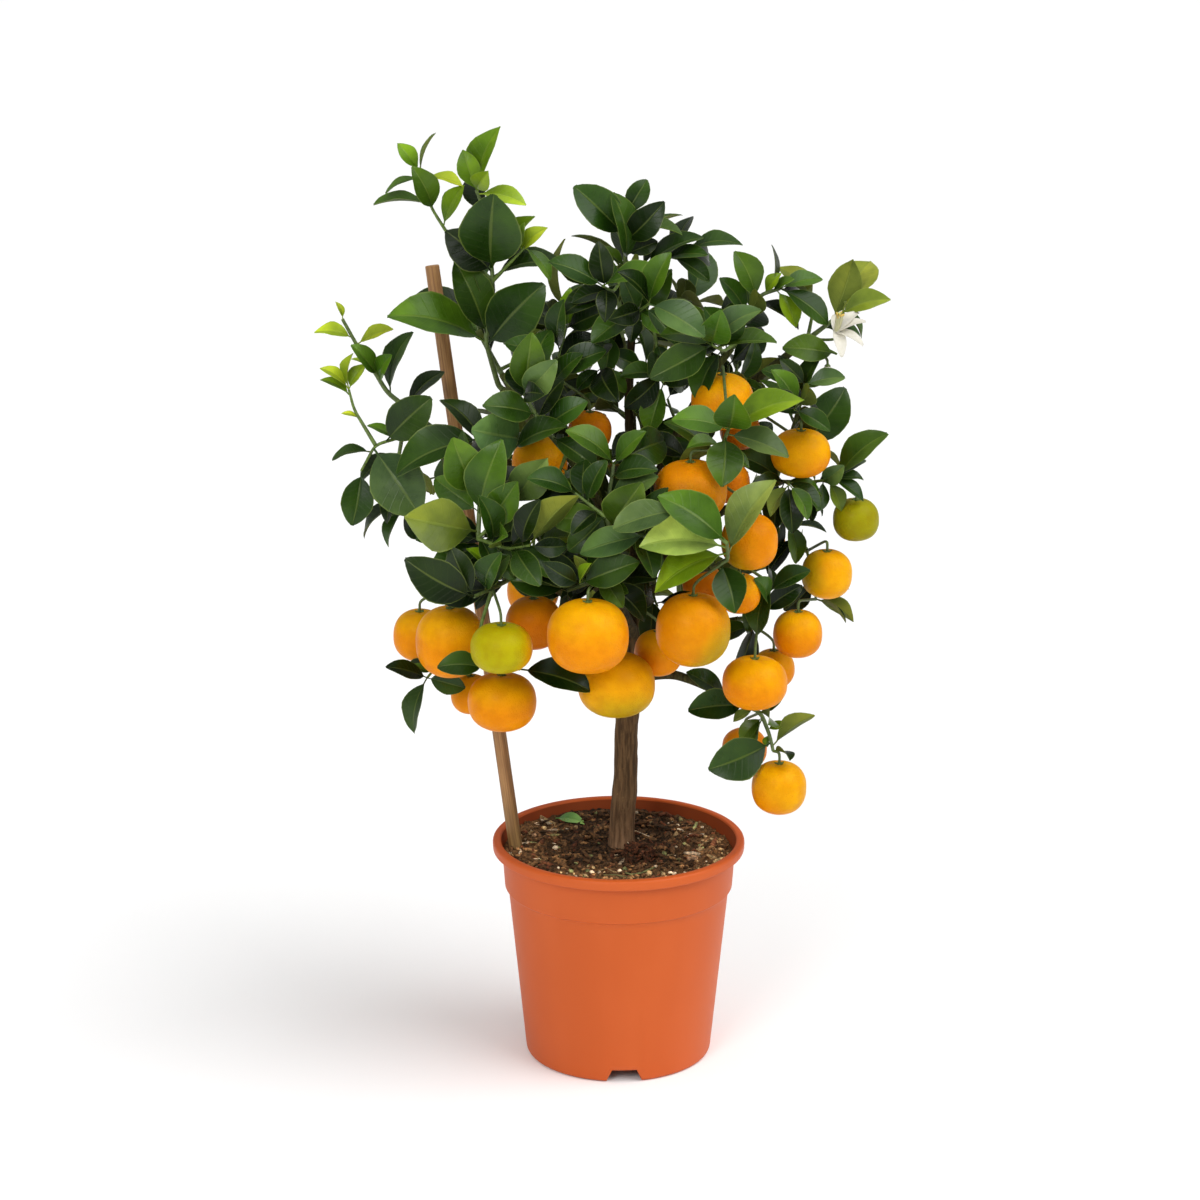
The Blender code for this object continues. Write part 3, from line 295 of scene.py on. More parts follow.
def drill_drains(pot):
    """Cuts the drain holes through the pot's floor."""
    bm = bmesh.new()
    for number in range(DRAINS):
        angle = math.radians(FIRST_DRAIN + 360 / DRAINS * number)
        spot = Matrix.Translation((math.cos(angle) * DRAIN_CIRCLE,
                                   math.sin(angle) * DRAIN_CIRCLE, (FLOOR + ARCH_HEIGHT) / 2))
        bmesh.ops.create_cone(bm, cap_ends=True, segments=24, radius1=DRAIN_RADIUS,
                              radius2=DRAIN_RADIUS, depth=FLOOR, matrix=spot)
    cutter = object_of("drains", bm)
    cut = pot.modifiers.new("Drains", "BOOLEAN")
    cut.object = cutter
    cut.operation = "DIFFERENCE"
    depsgraph = bpy.context.evaluated_depsgraph_get()
    drilled = bpy.data.meshes.new_from_object(pot.evaluated_get(depsgraph))
    pot.modifiers.clear()
    pot.data = drilled
    bpy.data.objects.remove(cutter)


def pot_plastic(name, light, roughness):
    """Satin moulded plastic: faint flow marks down the wall and a very fine grain; a light below 1
    darkens its whole colour as painted shade.
    """
    material, tree, shader = new_material(name, TERRACOTTA, roughness)
    streaks = grain(tree, place_of(tree, (1, 1, 0.2)), 30, 2)
    clouds = grain(tree, place_of(tree), 14, 2)
    marks = math_of(tree, "ADD", math_of(tree, "MULTIPLY", streaks, 0.5),
                    math_of(tree, "MULTIPLY", clouds, 0.5))
    colour = blend_colour(tree, steps(tree, marks, 0.35, 0.7), TERRACOTTA, TERRACOTTA_PALE)
    # painted shade: the colour multiplied by light, which is below 1 for the inside copy
    colour = blend_colour(tree, 1.0, colour, (light, light, light), "MULTIPLY")
    tree.links.new(colour, shader.inputs["Base Color"])
    roughen(tree, shader, grain(tree, place_of(tree), 1500, 2), 0.00003)
    shader.inputs["Specular IOR Level"].default_value = 0.28
    return material


pot = turned_pot()
drill_drains(pot)
shade(pot, 30)
pot.data.materials.clear()
pot.data.materials.append(pot_plastic("pot_plastic", 1.0, 0.5))
pot.data.materials.append(pot_plastic("pot_plastic_painted_shade", INSIDE_PAINTED_SHADE_SHARE, 0.7))
# The inside faces below the rim take the darkened copy, as painted shade
for face in pot.data.polygons:
    middle = face.center
    is_inside = math.hypot(middle.x, middle.y) < inner_radius(middle.z) + 0.4 * MM
    face.material_index = 1 if is_inside and middle.z < INSIDE_PAINTED_SHADE_TO else 0
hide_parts("pot")
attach(pot, "root")


# The potting mix round the root ball: peat, bark shreds and grit, pressed in by hand and loose
# on top, with a few pale stones, husks and fine roots lying on it.

SOIL_LEVEL = 141 * MM
SOIL_RELIEF = 2.4 * MM
SOIL_RISE = 0.03
SOIL_LEAN = 0.015
SOIL_LUMPS = (55, 130)  # to a metre: the broad ones, then those on them
CRUMB_LUMPS = (260, 520)
CRUMB_RELIEF = 3.2
CRUMB_SINK = 0.9
GRITTY_FROM = 0.3  # of the way from the middle to the pot
GRITTY_OVER = 0.35
SOIL_RING_STEPS = 70
SOIL_SIDES = 220
GAP = 0.3 * MM
PEAT = (0.042, 0.022, 0.009)
BARK_BROWN = (0.088, 0.046, 0.020)
RED_FIBRE = (0.110, 0.040, 0.018)
TAN = (0.22, 0.12, 0.050)
HUSK = (0.36, 0.26, 0.13)
STONE = (0.46, 0.28, 0.16)
GRIT = (0.55, 0.46, 0.33)
MOSS = (0.20, 0.22, 0.09)
OLIVE_CHIP = (0.16, 0.14, 0.07)
TRUNK_AT = Vector((2, 12, 139)) * MM
CRUMBS = 1800
CRUMB_SIZES = (0.8, 2.9)
SHREDS = 620
SHRED_SIZE = 1.7  # of a crumb's
SHRED_LENGTHS = (1.6, 2.4)
SHREDS_TO = -0.4  # of the way from the middle to the pot: in front of that none lie
CRUMBS_CLEAR = 9 * MM  # of the trunk's middle
CRUMB_ROUGHNESS = 0.35
CLUMP_AT = (14, -12)
CLUMP_REACH = (13, 15, 9)
CLUMP_SHREDS = 170
CLUMP_SHRED_SIZES = (1.2, 3.0)
CLUMP_CLEAR = 11 * MM
# What the crumbs are made of, away from the grit and in it: (running share, colour)
BARKY_MIX = ((0.40, PEAT), (0.75, BARK_BROWN), (0.87, RED_FIBRE), (0.955, TAN), (0.975, HUSK),
             (0.993, GRIT), (1.0, MOSS))
GRITTY_MIX = ((0.10, PEAT), (0.32, BARK_BROWN), (0.42, RED_FIBRE), (0.72, TAN), (0.87, HUSK),
              (0.96, GRIT), (1.0, MOSS))


class Growth:
    """Corners, faces, colours and UVs of one piece while it is put together."""

    def __init__(self):
        self.corners = []
        self.faces = []
        self.finishes = []
        self.colours = []
        self.places = []

    def add(self, corners, faces, colour, finish=0, places=None):
        """Adds a shape of one colour, or of one colour a corner, and one finish."""
        base = len(self.corners)
        self.corners += [tuple(corner) for corner in corners]
        self.faces += [tuple(base + number for number in face) for face in faces]
        self.finishes += finish if isinstance(finish, list) else [finish] * len(faces)
        many = isinstance(colour, list)
        self.colours += colour if many else [colour] * len(corners)
        self.places += places or [(0.5, 0.5)] * len(corners)

    def made(self, name, materials, degrees=35):
        """The piece as an object, its colours in the attribute named tone."""
        mesh = bpy.data.meshes.new(name)
        mesh.from_pydata(self.corners, [], self.faces)
        for material in materials:
            mesh.materials.append(material)
        mesh.polygons.foreach_set("material_index", self.finishes)
        tone = mesh.color_attributes.new("tone", "FLOAT_COLOR", "POINT")
        tone.data.foreach_set("color", [part for colour in self.colours for part in (*colour, 1)])
        sheet = mesh.uv_layers.new(name="UVMap")
        spots = [part for loop in mesh.loops for part in self.places[loop.vertex_index]]
        sheet.data.foreach_set("uv", spots)
        mesh.validate()
        obj = add_object(name, mesh)
        shade(obj, degrees)
        return obj


def tone_of(tree):
    """The colour that a piece's own tone attribute gives, as a socket."""
    made = add_node(tree, "ShaderNodeVertexColor", {"layer_name": "tone"})
    return made.outputs["Color"]


def soil_height(x, y):
    """The soil's surface over the ground, loose and lumpy, a little higher at the left."""
    broad, small = SOIL_LUMPS
    lumps = noise.noise(Vector((x, y, 0)) * broad) + 0.5 * noise.noise(Vector((x, y, 0.3)) * small)
    return SOIL_LEVEL + SOIL_RELIEF * lumps - SOIL_LEAN * x + SOIL_RISE * y


def grittiness(x, y):
    """How gritty the soil is at a place: pale grit lies towards its edge, in front and aside."""
    toward = max(-1.1 * y, 0.75 * abs(x)) / inner_radius(SOIL_LEVEL)
    return clamped((toward - GRITTY_FROM) / GRITTY_OVER)


def crumbled_height(x, y):
    """The soil's surface with its crumbs: small sharp lumps on the broad ones."""
    spot = Vector((x, y, 0.1))
    coarse, fine = CRUMB_LUMPS
    crumbs = abs(noise.noise(spot * coarse)) + 0.6 * abs(noise.noise(spot * fine + Vector((3, 1, 2))))
    return soil_height(x, y) + (CRUMB_RELIEF * crumbs - CRUMB_SINK) * MM


def mixed(first, second, share):
    """A colour between two others."""
    return tuple(Vector(first).lerp(Vector(second), share))


def around(sides):
    """Angles spaced evenly over a full turn."""
    return [math.tau * side / sides for side in range(sides)]


def ringed_faces(rings, sides):
    """Faces of a closed body: rings of corners between a corner at its top and one below."""
    faces = []
    last = 1 + rings * sides
    for side in range(sides):
        after = (side + 1) % sides
        faces.append((0, 1 + side, 1 + after))
        for near in range(1, last - sides, sides):
            far = near + sides
            faces.append((near + side, far + side, far + after, near + after))
        faces.append((last - sides + side, last, last - sides + after))
    return faces


def soil_body():
    """The root ball as one closed body, its top crumbled."""
    growth = Growth()
    corners = [(0, 0, crumbled_height(0, 0))]
    rim = inner_radius(SOIL_LEVEL) - GAP
    reaches = [rim * math.sqrt(ring / SOIL_RING_STEPS) for ring in range(1, SOIL_RING_STEPS + 1)]
    levels = [BAND_FOOT, STEP_FOOT, FLOOR + 4 * MM]
    for reach in reaches:
        for angle in around(SOIL_SIDES):
            x, y = reach * math.cos(angle), reach * math.sin(angle)
            corners.append((x, y, crumbled_height(x, y)))
    for level in levels:
        reach = inner_radius(level) - GAP
        corners += [(reach * math.cos(angle), reach * math.sin(angle), level)
                    for angle in around(SOIL_SIDES)]
    corners.append((0, 0, FLOOR + GAP))
    colours = [mixed(PEAT, TAN, 0.8 * grittiness(x, y)) for x, y, _ in corners]
    growth.add(corners, ringed_faces(len(reaches) + len(levels), SOIL_SIDES), colours)
    return growth


def tumbled(draw, tilt):
    """A turn for a crumb: any way round, and tipped by up to a tilt."""
    spin = Matrix.Rotation(draw.uniform(0, math.tau), 3, "Z")
    return spin @ Matrix.Rotation(draw.uniform(-tilt, tilt), 3, "Y")


def crumb_shape(draw, size, stretch, turn, spot):
    """A rough lump: an icosphere pushed about by noise, stretched, turned and set down."""
    bm = bmesh.new()
    bmesh.ops.create_icosphere(bm, subdivisions=1, radius=size)
    seed = Vector([draw.uniform(0, 50) for _ in range(3)])
    corners = []
    for vert in bm.verts:
        pushed = vert.co * (1 + CRUMB_ROUGHNESS * noise.noise(vert.co / size * 0.9 + seed))
        corners.append(turn @ Vector([part * factor for part, factor in zip(pushed, stretch)]) + spot)
    faces = [tuple(vert.index for vert in face.verts) for face in bm.faces]
    bm.free()
    return corners, faces


def crumb_colour(draw, x, y):
    """What a crumb is made of, by its share of the mix."""
    gritty = grittiness(x, y)
    shares = GRITTY_MIX if draw.random() < gritty else BARKY_MIX
    pick = draw.random()
    colour = next(tone for share, tone in shares if pick <= share)
    light = draw.uniform(0.65, 1.35) * (1 + gritty)
    return tuple(part * light for part in colour)


def strewn_crumbs(growth):
    """Crumbs, bark shreds and grit lying all over the soil."""
    draw = random.Random(11)
    rim = inner_radius(SOIL_LEVEL)
    for number in range(CRUMBS + SHREDS):
        is_shred = number >= CRUMBS
        size = draw.uniform(*CRUMB_SIZES) * MM * (SHRED_SIZE if is_shred else 1) * draw.uniform(0.6, 1)
        reach = (rim - 2.2 * size) * math.sqrt(draw.random())
        angle = draw.uniform(0, math.tau)
        x, y = reach * math.cos(angle), reach * math.sin(angle)
        if (Vector((x, y)) - TRUNK_AT.xy).length < CRUMBS_CLEAR + 2 * size:
            continue
        if is_shred and y < SHREDS_TO * rim:
            continue
        flat = draw.uniform(0.35, 0.8)
        if is_shred:
            stretch = (draw.uniform(*SHRED_LENGTHS), 0.5, 0.35)
        else:
            stretch = (1, draw.uniform(0.7, 1), flat)
        spot = Vector((x, y, crumbled_height(x, y) + 0.2 * size))
        corners, faces = crumb_shape(draw, size, stretch, tumbled(draw, 0.5), spot)
        colour = crumb_colour(draw, x, y)
        if is_shred:
            colour = mixed(colour, TAN, draw.random() ** 3)
        growth.add(corners, faces, colour)


def fibre_clump(growth):
    """The loose clump of reddish root fibre and bark piled against the trunk's foot."""
    draw = random.Random(21)
    for _ in range(CLUMP_SHREDS):
        angle = draw.uniform(0, math.tau)
        out = math.sqrt(draw.random())
        x = CLUMP_AT[0] * MM + math.cos(angle) * out * CLUMP_REACH[0] * MM
        y = CLUMP_AT[1] * MM + math.sin(angle) * out * CLUMP_REACH[1] * MM
        if (Vector((x, y)) - TRUNK_AT.xy).length < CLUMP_CLEAR:
            continue
        top = CLUMP_REACH[2] * MM * (1 - out * out) * draw.uniform(0.55, 1)
        size = draw.uniform(*CLUMP_SHRED_SIZES) * MM
        stretch = (draw.uniform(1.0, 2.0), draw.uniform(0.3, 0.6), draw.uniform(0.25, 0.5))
        spot = Vector((x, y, soil_height(x, y) + top))
        corners, faces = crumb_shape(draw, size, stretch, tumbled(draw, 1.0), spot)
        tone = Vector(mixed(RED_FIBRE, PEAT, draw.random() ** 2)) * draw.uniform(0.7, 1.3)
        growth.add(corners, faces, tuple(tone))


def lying_on_soil(x, y, lift):
    """A point over the crumbled soil, places in millimetres."""
    x, y = x * MM, y * MM
    return Vector((x, y, crumbled_height(x, y) + lift * MM))


def sleeve(growth, route, radii, sides, colour, finish=0):
    """A closed tube through the points of a route, its rings kept from twisting."""
    corners, faces, places = [], [], []
    across = None
    reach = 0.0
    for number, (spot, radius) in enumerate(zip(route, radii)):
        before, after = route[max(0, number - 1)], route[min(len(route) - 1, number + 1)]
        onward = (after - before).normalized()
        reach += (spot - before).length
        across = onward.orthogonal() if across is None else across - onward * across.dot(onward)
        across.normalize()
        upward = onward.cross(across)
        for side, angle in enumerate(around(sides)):
            corners.append(spot + (across * math.cos(angle) + upward * math.sin(angle)) * radius)
            places.append((side / sides, reach))
    for near in range(0, (len(route) - 1) * sides, sides):
        far = near + sides
        for side in range(sides):
            after = (side + 1) % sides
            faces.append((near + side, near + after, far + after, far + side))
    faces.append(tuple(reversed(range(sides))))
    faces.append(tuple(range(len(corners) - sides, len(corners))))
    growth.add(corners, faces, colour, finish, places)


# Fine roots, straws and twigs on the soil: places in mm, height over it in mm, radius in mm
STRAWS = [
    (((-56, 60), (-50, 54), (-43, 45)), 1.8, 1.1, HUSK),
    (((-43, 45), (-40, 43), (-34, 44)), 1.6, 0.7, TAN),
    (((8, 22), (12, 25), (17, 20), (21, 18)), 3.6, 0.35, GRIT),
    (((6, -2), (9, -6), (8, -12)), 6.0, 0.3, GRIT),
    (((2, -41), (8, -43), (15, -40), (24, -36)), 1.4, 0.6, MOSS),
    (((-14, -42), (-8, -38), (-3, -44), (4, -38)), 1.6, 0.4, HUSK),
    (((-10, -50), (-2, -46), (5, -52)), 1.6, 0.35, MOSS),
    (((52, 1), (58, 12), (67, 20)), 1.8, 0.45, HUSK),
    (((56, -6), (62, 4), (66, 6)), 1.6, 0.4, TAN),
    (((12, 66), (22, 64), (31, 68)), 2.4, 0.9, BARK_BROWN),
    (((28, 60), (33, 63), (37, 58)), 3.0, 1.6, RED_FIBRE),
    (((-40, -10), (-32, -14), (-26, -12)), 1.2, 0.4, TAN),
]
# Stones and husks: (x, y, half length, half width, turn) in mm and degrees, and a colour
STONES = [
    ((49, -16, 4.8, 3.4, 10), STONE),
    ((-39, 32, 5.2, 3.2, 5), OLIVE_CHIP),
    ((22, 50, 3.4, 2.6, -50), HUSK),
    ((-20, -13, 3.0, 1.6, 10), MOSS),
    ((-57, 26, 3.0, 2.6, 0), STONE),
    ((57, 30, 2.2, 1.8, 40), GRIT),
]


def tinted(tree, colour, value, span, dark, light):
    """A colour multiplied by a tint, dark to light as a value crosses a span, as a socket."""
    tint = blend_colour(tree, steps(tree, value, *span), dark, light)
    return blend_colour(tree, 1.0, colour, tint, "MULTIPLY")


def soil_finish():
    """Damp peat: near-black and rough, mottled by what lies in it."""
    material, tree, shader = new_material("potting_soil", PEAT, 0.92)
    clods = grain(tree, place_of(tree), 420, 4, 0.7)
    colour = tinted(tree, tone_of(tree), clods, (0.38, 0.68), (0.5, 0.5, 0.5), (2.1, 1.9, 1.7))
    tree.links.new(colour, shader.inputs["Base Color"])
    roughen(tree, shader, grain(tree, place_of(tree), 1300, 4, 0.7), 0.0009)
    shader.inputs["Specular IOR Level"].default_value = 0.25
    return material


potting_soil = soil_finish()
ball = soil_body().made("root_ball", [potting_soil], 60)
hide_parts("soil")
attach(ball, "root")

litter = Growth()
strewn_crumbs(litter)
fibre_clump(litter)
for route, lift, radius, colour in STRAWS:
    spots = [lying_on_soil(x, y, lift) for x, y in route]
    sleeve(litter, spots, [radius * MM] * len(spots), 6, colour)
stone_draw = random.Random(3)
for (x, y, half_length, half_width, turn), colour in STONES:
    stretch = (half_length, half_width, 0.6 * half_width)
    turned = Matrix.Rotation(math.radians(turn), 3, "Z")
    corners, faces = crumb_shape(stone_draw, MM, stretch, turned, lying_on_soil(x, y, 0.8))
    litter.add(corners, faces, colour)
soil_litter = litter.made("soil_litter", [potting_soil], 60)
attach(soil_litter, "root")


# The plant stake: a straight round stick of pale tropical wood, sawn off square at its top
# and pushed slantwise into the soil beside the trunk.

STAKE_RADIUS = 4.7 * MM
STAKE_TOP = (-122, 40, 532)
STAKE_AT_SOIL = (-69.4, 5, 142)
STAKE_DEPTH = 60 * MM
STAKE_PIECES = 70
STAKE_SIDES = 32
STAKE_STAIN = 40 * MM  # how far up from the soil it is stained
STAKE_TAN = (0.40, 0.215, 0.078)
STAKE_OLIVE = (0.33, 0.235, 0.08)


def place(point):
    """A place listed in millimetres, in metres."""
    return Vector(point) * MM


def stake_stick():
    """The stake: a fine tube with a small chamfer at its top, its radius a little uneven along it."""
    top, ground = place(STAKE_TOP), place(STAKE_AT_SOIL)
    foot = ground + (ground - top).normalized() * STAKE_DEPTH
    shares = [0, 0.0012, 0.003] + [step / STAKE_PIECES for step in range(1, STAKE_PIECES + 1)]
    bumps = [0.985 + 0.015 * noise.noise(Vector((share * 18, 0, 0))) for share in shares]
    radii = [STAKE_RADIUS * bump for bump in [0.9] + bumps[1:]]
    growth = Growth()
    sleeve(growth, [top.lerp(foot, share) for share in shares], radii, STAKE_SIDES, STAKE_TAN)
    low_down = [clamped(1 - (corner[2] - ground.z) / STAKE_STAIN) for corner in growth.corners]
    growth.colours = [mixed(STAKE_TAN, STAKE_OLIVE, share * 0.7) for share in low_down]
    return growth


def stake_finish():
    """Planed wood: long grain lines along the stick, a little darker in streaks."""
    top, ground = place(STAKE_TOP), place(STAKE_AT_SOIL)
    lean = (top - ground).normalized().rotation_difference(Vector((0, 0, 1))).to_euler()
    material, tree, shader = new_material("stake_wood", STAKE_TAN, 0.62)
    where = place_of(tree, (1, 1, 1), tuple(lean))
    long_way = add_node(tree, "ShaderNodeMapping", Vector=where, Scale=(1, 1, 0.03))
    lines = grain(tree, long_way.outputs["Vector"], 900, 4, 0.6)
    clouds = grain(tree, long_way.outputs["Vector"], 260, 2)
    colour = tinted(tree, tone_of(tree), lines, (0.35, 0.7), (0.62, 0.55, 0.5), (1.12, 1.1, 1.06))
    colour = tinted(tree, colour, clouds, (0.4, 0.75), (1, 1, 1), (0.78, 0.7, 0.62))
    tree.links.new(colour, shader.inputs["Base Color"])
    roughen(tree, shader, lines, 0.00025)
    return material


stake = stake_stick().made("stake_stick", [stake_finish()])
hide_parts("stake")
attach(stake, "root")


# The trunk and its limbs, one grown piece: warm brown, finely ridged bark on the trunk, which kinks
# where it was grafted, turning smoother and greener out along the limbs.

TRUNK = [
    ((2, 12, 72), 8.6),
    ((2, 12, 139), 8.5),
    ((3, 12, 169), 8.2),
    ((5, 12, 187), 8.1),
    ((5, 9, 228), 7.7),
    ((10, 4, 270), 7.4),
    ((14, 0, 317), 5.8),
    ((9, 0, 390), 3.9),
    ((6, 0, 444), 2.9),
    ((8, 0, 500), 2.3),
]
# Each limb starts inside the trunk or another limb and ends where its leafy stem begins.
LIMBS = {
    "left_low": [(13, 1, 300), (-20, -15, 335), (-55, -35, 356), (-80, -52, 366)],
    "low_left": [(10, 4, 275), (-20, -25, 315), (-45, -50, 342), (-62, -62, 350)],
    "left_up": [(13, 0, 325), (-20, 10, 380), (-52, 14, 430), (-76, 11, 456)],
    "left_out": [(-20, 10, 380), (-70, 12, 405), (-118, 4, 430)],
    "front_up": [(12, 0, 345), (-10, -30, 385), (-32, -52, 425)],
    "front": [(14, 0, 312), (6, -35, 342), (0, -66, 362)],
    "low_front": [(12, 2, 290), (0, -30, 322), (-6, -55, 338)],
    "front_right": [(14, 0, 318), (38, -40, 345), (58, -76, 360)],
    "right_mid": [(13, 0, 335), (34, -25, 378), (50, -46, 413)],
    "right_out": [(13, 0, 328), (50, 5, 365), (92, -2, 392), (98, -4, 396)],
    "right_up": [(10, 0, 365), (35, -2, 425), (60, -5, 470), (72, -4, 486)],
    "flower_limb": [(35, -2, 425), (85, 8, 460), (118, 2, 488)],
    "right_low": [(11, 3, 270), (50, 8, 295), (78, -10, 306)],
    "lowest_right": [(9, 5, 262), (35, -10, 269), (50, -11, 264), (66, -15, 257)],
    "back_left": [(12, 2, 300), (-20, 45, 338), (-48, 80, 370)],
    "back_right": [(14, 0, 322), (45, 45, 368), (70, 78, 402)],
    "back_top": [(9, 0, 395), (8, 35, 440), (2, 58, 480)],
    "back_low": [(10, 4, 268), (20, 50, 295), (25, 85, 315)],
    "back_far": [(-20, 10, 380), (-55, 50, 420), (-78, 75, 452)],
}
LIMB_RADII = (3.8, 2.3)
TRUNK_SIDES = 40
LIMB_SIDES = 12
BARK_BROWN_GREY = (0.108, 0.064, 0.028)
# Painted light: the bark just above the soil made lighter, where light falls on it below the shade of
# the crown
PAINTED_LIGHT_FOOT_BROWN = (0.26, 0.155, 0.085)  # of the bark just above the soil
LIMB_BROWN = (0.050, 0.036, 0.013)
FOOT_TOP = 145  # in mm, where the foot's brown starts to fade
FOOT_FADE = 18
GRAFT_HEIGHT = 178
GRAFT_REACH = 7
RIDGE_DEPTH = 0.25
KNOB_DEPTH = 0.45
YOUNG_GREEN = (0.085, 0.13, 0.03)


def eased(route, cut):
    """A route with each corner cut by a small curve, its ends kept."""
    spots = [route[0]]
    for corner in zip(route, route[1:], route[2:]):
        spots += rounded_corner(*corner, cut, 0.4, 4)
    return spots + [route[-1]]


def refined(route, spacing):
    """A route with more points on its straight runs."""
    spots = [route[0]]
    for start, end in zip(route, route[1:]):
        count = max(1, round((end - start).length / spacing))
        spots += [start.lerp(end, step / count) for step in range(1, count + 1)]
    return spots


def spread(route, first, last):
    """Radii in metres from the first to the last, by the length along the route."""
    reach = [0.0]
    for start, end in zip(route, route[1:]):
        reach.append(reach[-1] + (end - start).length)
    return [(first + (last - first) * far / reach[-1]) * MM for far in reach]


def trunk_radius(height):
    """The trunk's radius at a height, both in metres, with a swelling at the graft."""
    height /= MM
    for (low, first), (high, last) in zip(TRUNK, TRUNK[1:]):
        if height <= high[2]:
            share = (height - low[2]) / (high[2] - low[2])
            bulge = 0.5 * math.exp(-((height - GRAFT_HEIGHT) / GRAFT_REACH) ** 2)
            flare = 1.2 * math.exp(-max(0.0, height - 140) / 6)
            return (first + (last - first) * share + bulge + flare) * MM
    return TRUNK[-1][1] * MM


def bark_growth():
    """The trunk with ridges down its bark, and the limbs that leave it."""
    growth = Growth()
    route = refined(eased([place(point) for point, _ in TRUNK], 9 * MM), 2.5 * MM)
    radii = [trunk_radius(spot.z) for spot in route]
    sleeve(growth, route, radii, TRUNK_SIDES, BARK_BROWN_GREY)
    for number, corner in enumerate(growth.corners):
        spot = Vector(corner)
        out = (spot - route[number // TRUNK_SIDES]).normalized()
        ridges = noise.noise(Vector((spot.x * 420, spot.y * 420, spot.z * 28)))
        knobs = noise.noise(spot * 130)
        growth.corners[number] = tuple(spot + out * (RIDGE_DEPTH * ridges + KNOB_DEPTH * knobs) * MM)
        tone = mixed(BARK_BROWN_GREY, LIMB_BROWN, clamped((spot.z / MM - 250) / 120))
        # painted light: the trunk's foot lighter, fading out upwards
        foot = math.exp(-max(0.0, spot.z / MM - FOOT_TOP) / FOOT_FADE)
        growth.colours[number] = mixed(tone, PAINTED_LIGHT_FOOT_BROWN, 0.8 * foot)
    for limb in LIMBS.values():
        route = refined(eased([place(point) for point in limb], 10 * MM), 5 * MM)
        rings = len(route)
        tones = [mixed(LIMB_BROWN, YOUNG_GREEN, 0.6 * (ring / rings) ** 2)
                 for ring in range(rings) for _ in range(LIMB_SIDES)]
        sleeve(growth, route, spread(route, *LIMB_RADII), LIMB_SIDES, tones)
    return growth


def bark_finish():
    """Bark: fine upright fissures, darker in their depths, with pale flecks."""
    material, tree, shader = new_material("bark", BARK_BROWN_GREY, 0.8)
    fissures = grain(tree, place_of(tree, (1, 1, 0.09)), 520, 5, 0.65)
    flecks = grain(tree, place_of(tree), 700, 2)
    colour = tinted(tree, tone_of(tree), fissures, (0.34, 0.66), (0.5, 0.46, 0.42), (1.35, 1.3, 1.25))
    colour = tinted(tree, colour, flecks, (0.62, 0.75), (1, 1, 1), (1.5, 1.45, 1.35))
    tree.links.new(colour, shader.inputs["Base Color"])
    roughen(tree, shader, fissures, 0.0006)
    shader.inputs["Specular IOR Level"].default_value = 0.2
    return material


bark = bark_finish()
trunk = bark_growth().made("trunk_and_limbs", [bark], 60)
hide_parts("trunk")
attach(trunk, "root")


# The leafy stems, green wood that hardens towards the limbs. Leaves are thick and glossy,
# darker as they age, and sit on short stalks; each fruit hangs from a stalk of its own.

VIEWER = Vector((-12.5, -2020, 892)) * MM
STEM_RADII = (1.9, 1.1)
TWIG_RADII = (1.4, 0.8)
STALK_RADIUS = 1.1
LEAF_THICKNESS = 0.7 * MM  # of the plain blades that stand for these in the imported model
LEAF_WIDTH = 0.54
PETIOLE = 0.12  # of its length, its own stalk
PETIOLE_WIDTH = 0.04
LEAF_ARCH = 0.07
LEAF_FOLD = 0.22
LEAF_SHOULDERS = (0.36, 0.74)
LEAF_MIDDLE = 0.52
BLADE_SKEW = 0.95  # below 1 its widest place is nearer its foot
BLADE_FULLNESS = 0.72  # the less, the blunter its ends
CLEARANCE = 1.1 * MM
SPIRAL_TURN = 137.5  # in degrees, from a leaf to the next round a twig
SEED = 5

# Leaf colours, from the shaded old leaves to the new shoots. The near-black green is painted shade,
# for leaves deep in the crown and in shadow.
PAINTED_SHADE_GREEN = (0.006, 0.017, 0.001)
DARK = (0.020, 0.052, 0.004)
# A painted sheen: the grey of the glossy leaves' reflection put into their colour
PAINTED_SHEEN_GREY_GREEN = (0.066, 0.120, 0.032)
MID = (0.050, 0.108, 0.006)
BRIGHT = (0.125, 0.225, 0.006)
FRESH = (0.30, 0.40, 0.018)
OLIVE = (0.105, 0.148, 0.015)
YELLOW_GREEN = (0.17, 0.22, 0.020)
LIGHT_OLIVE = (0.18, 0.25, 0.055)
PALE_GREEN = (0.36, 0.44, 0.085)
# A painted sheen, lighter: the grey of a glossy leaf's reflection put into its colour
PAINTED_SHEEN_SAGE = (0.085, 0.150, 0.035)
UNDERSIDE = (0.15, 0.18, 0.035)
# The light green of the midrib and side veins, also a painted highlight along each leaf's edge
VEIN_AND_EDGE_HIGHLIGHT = (0.28, 0.35, 0.07)

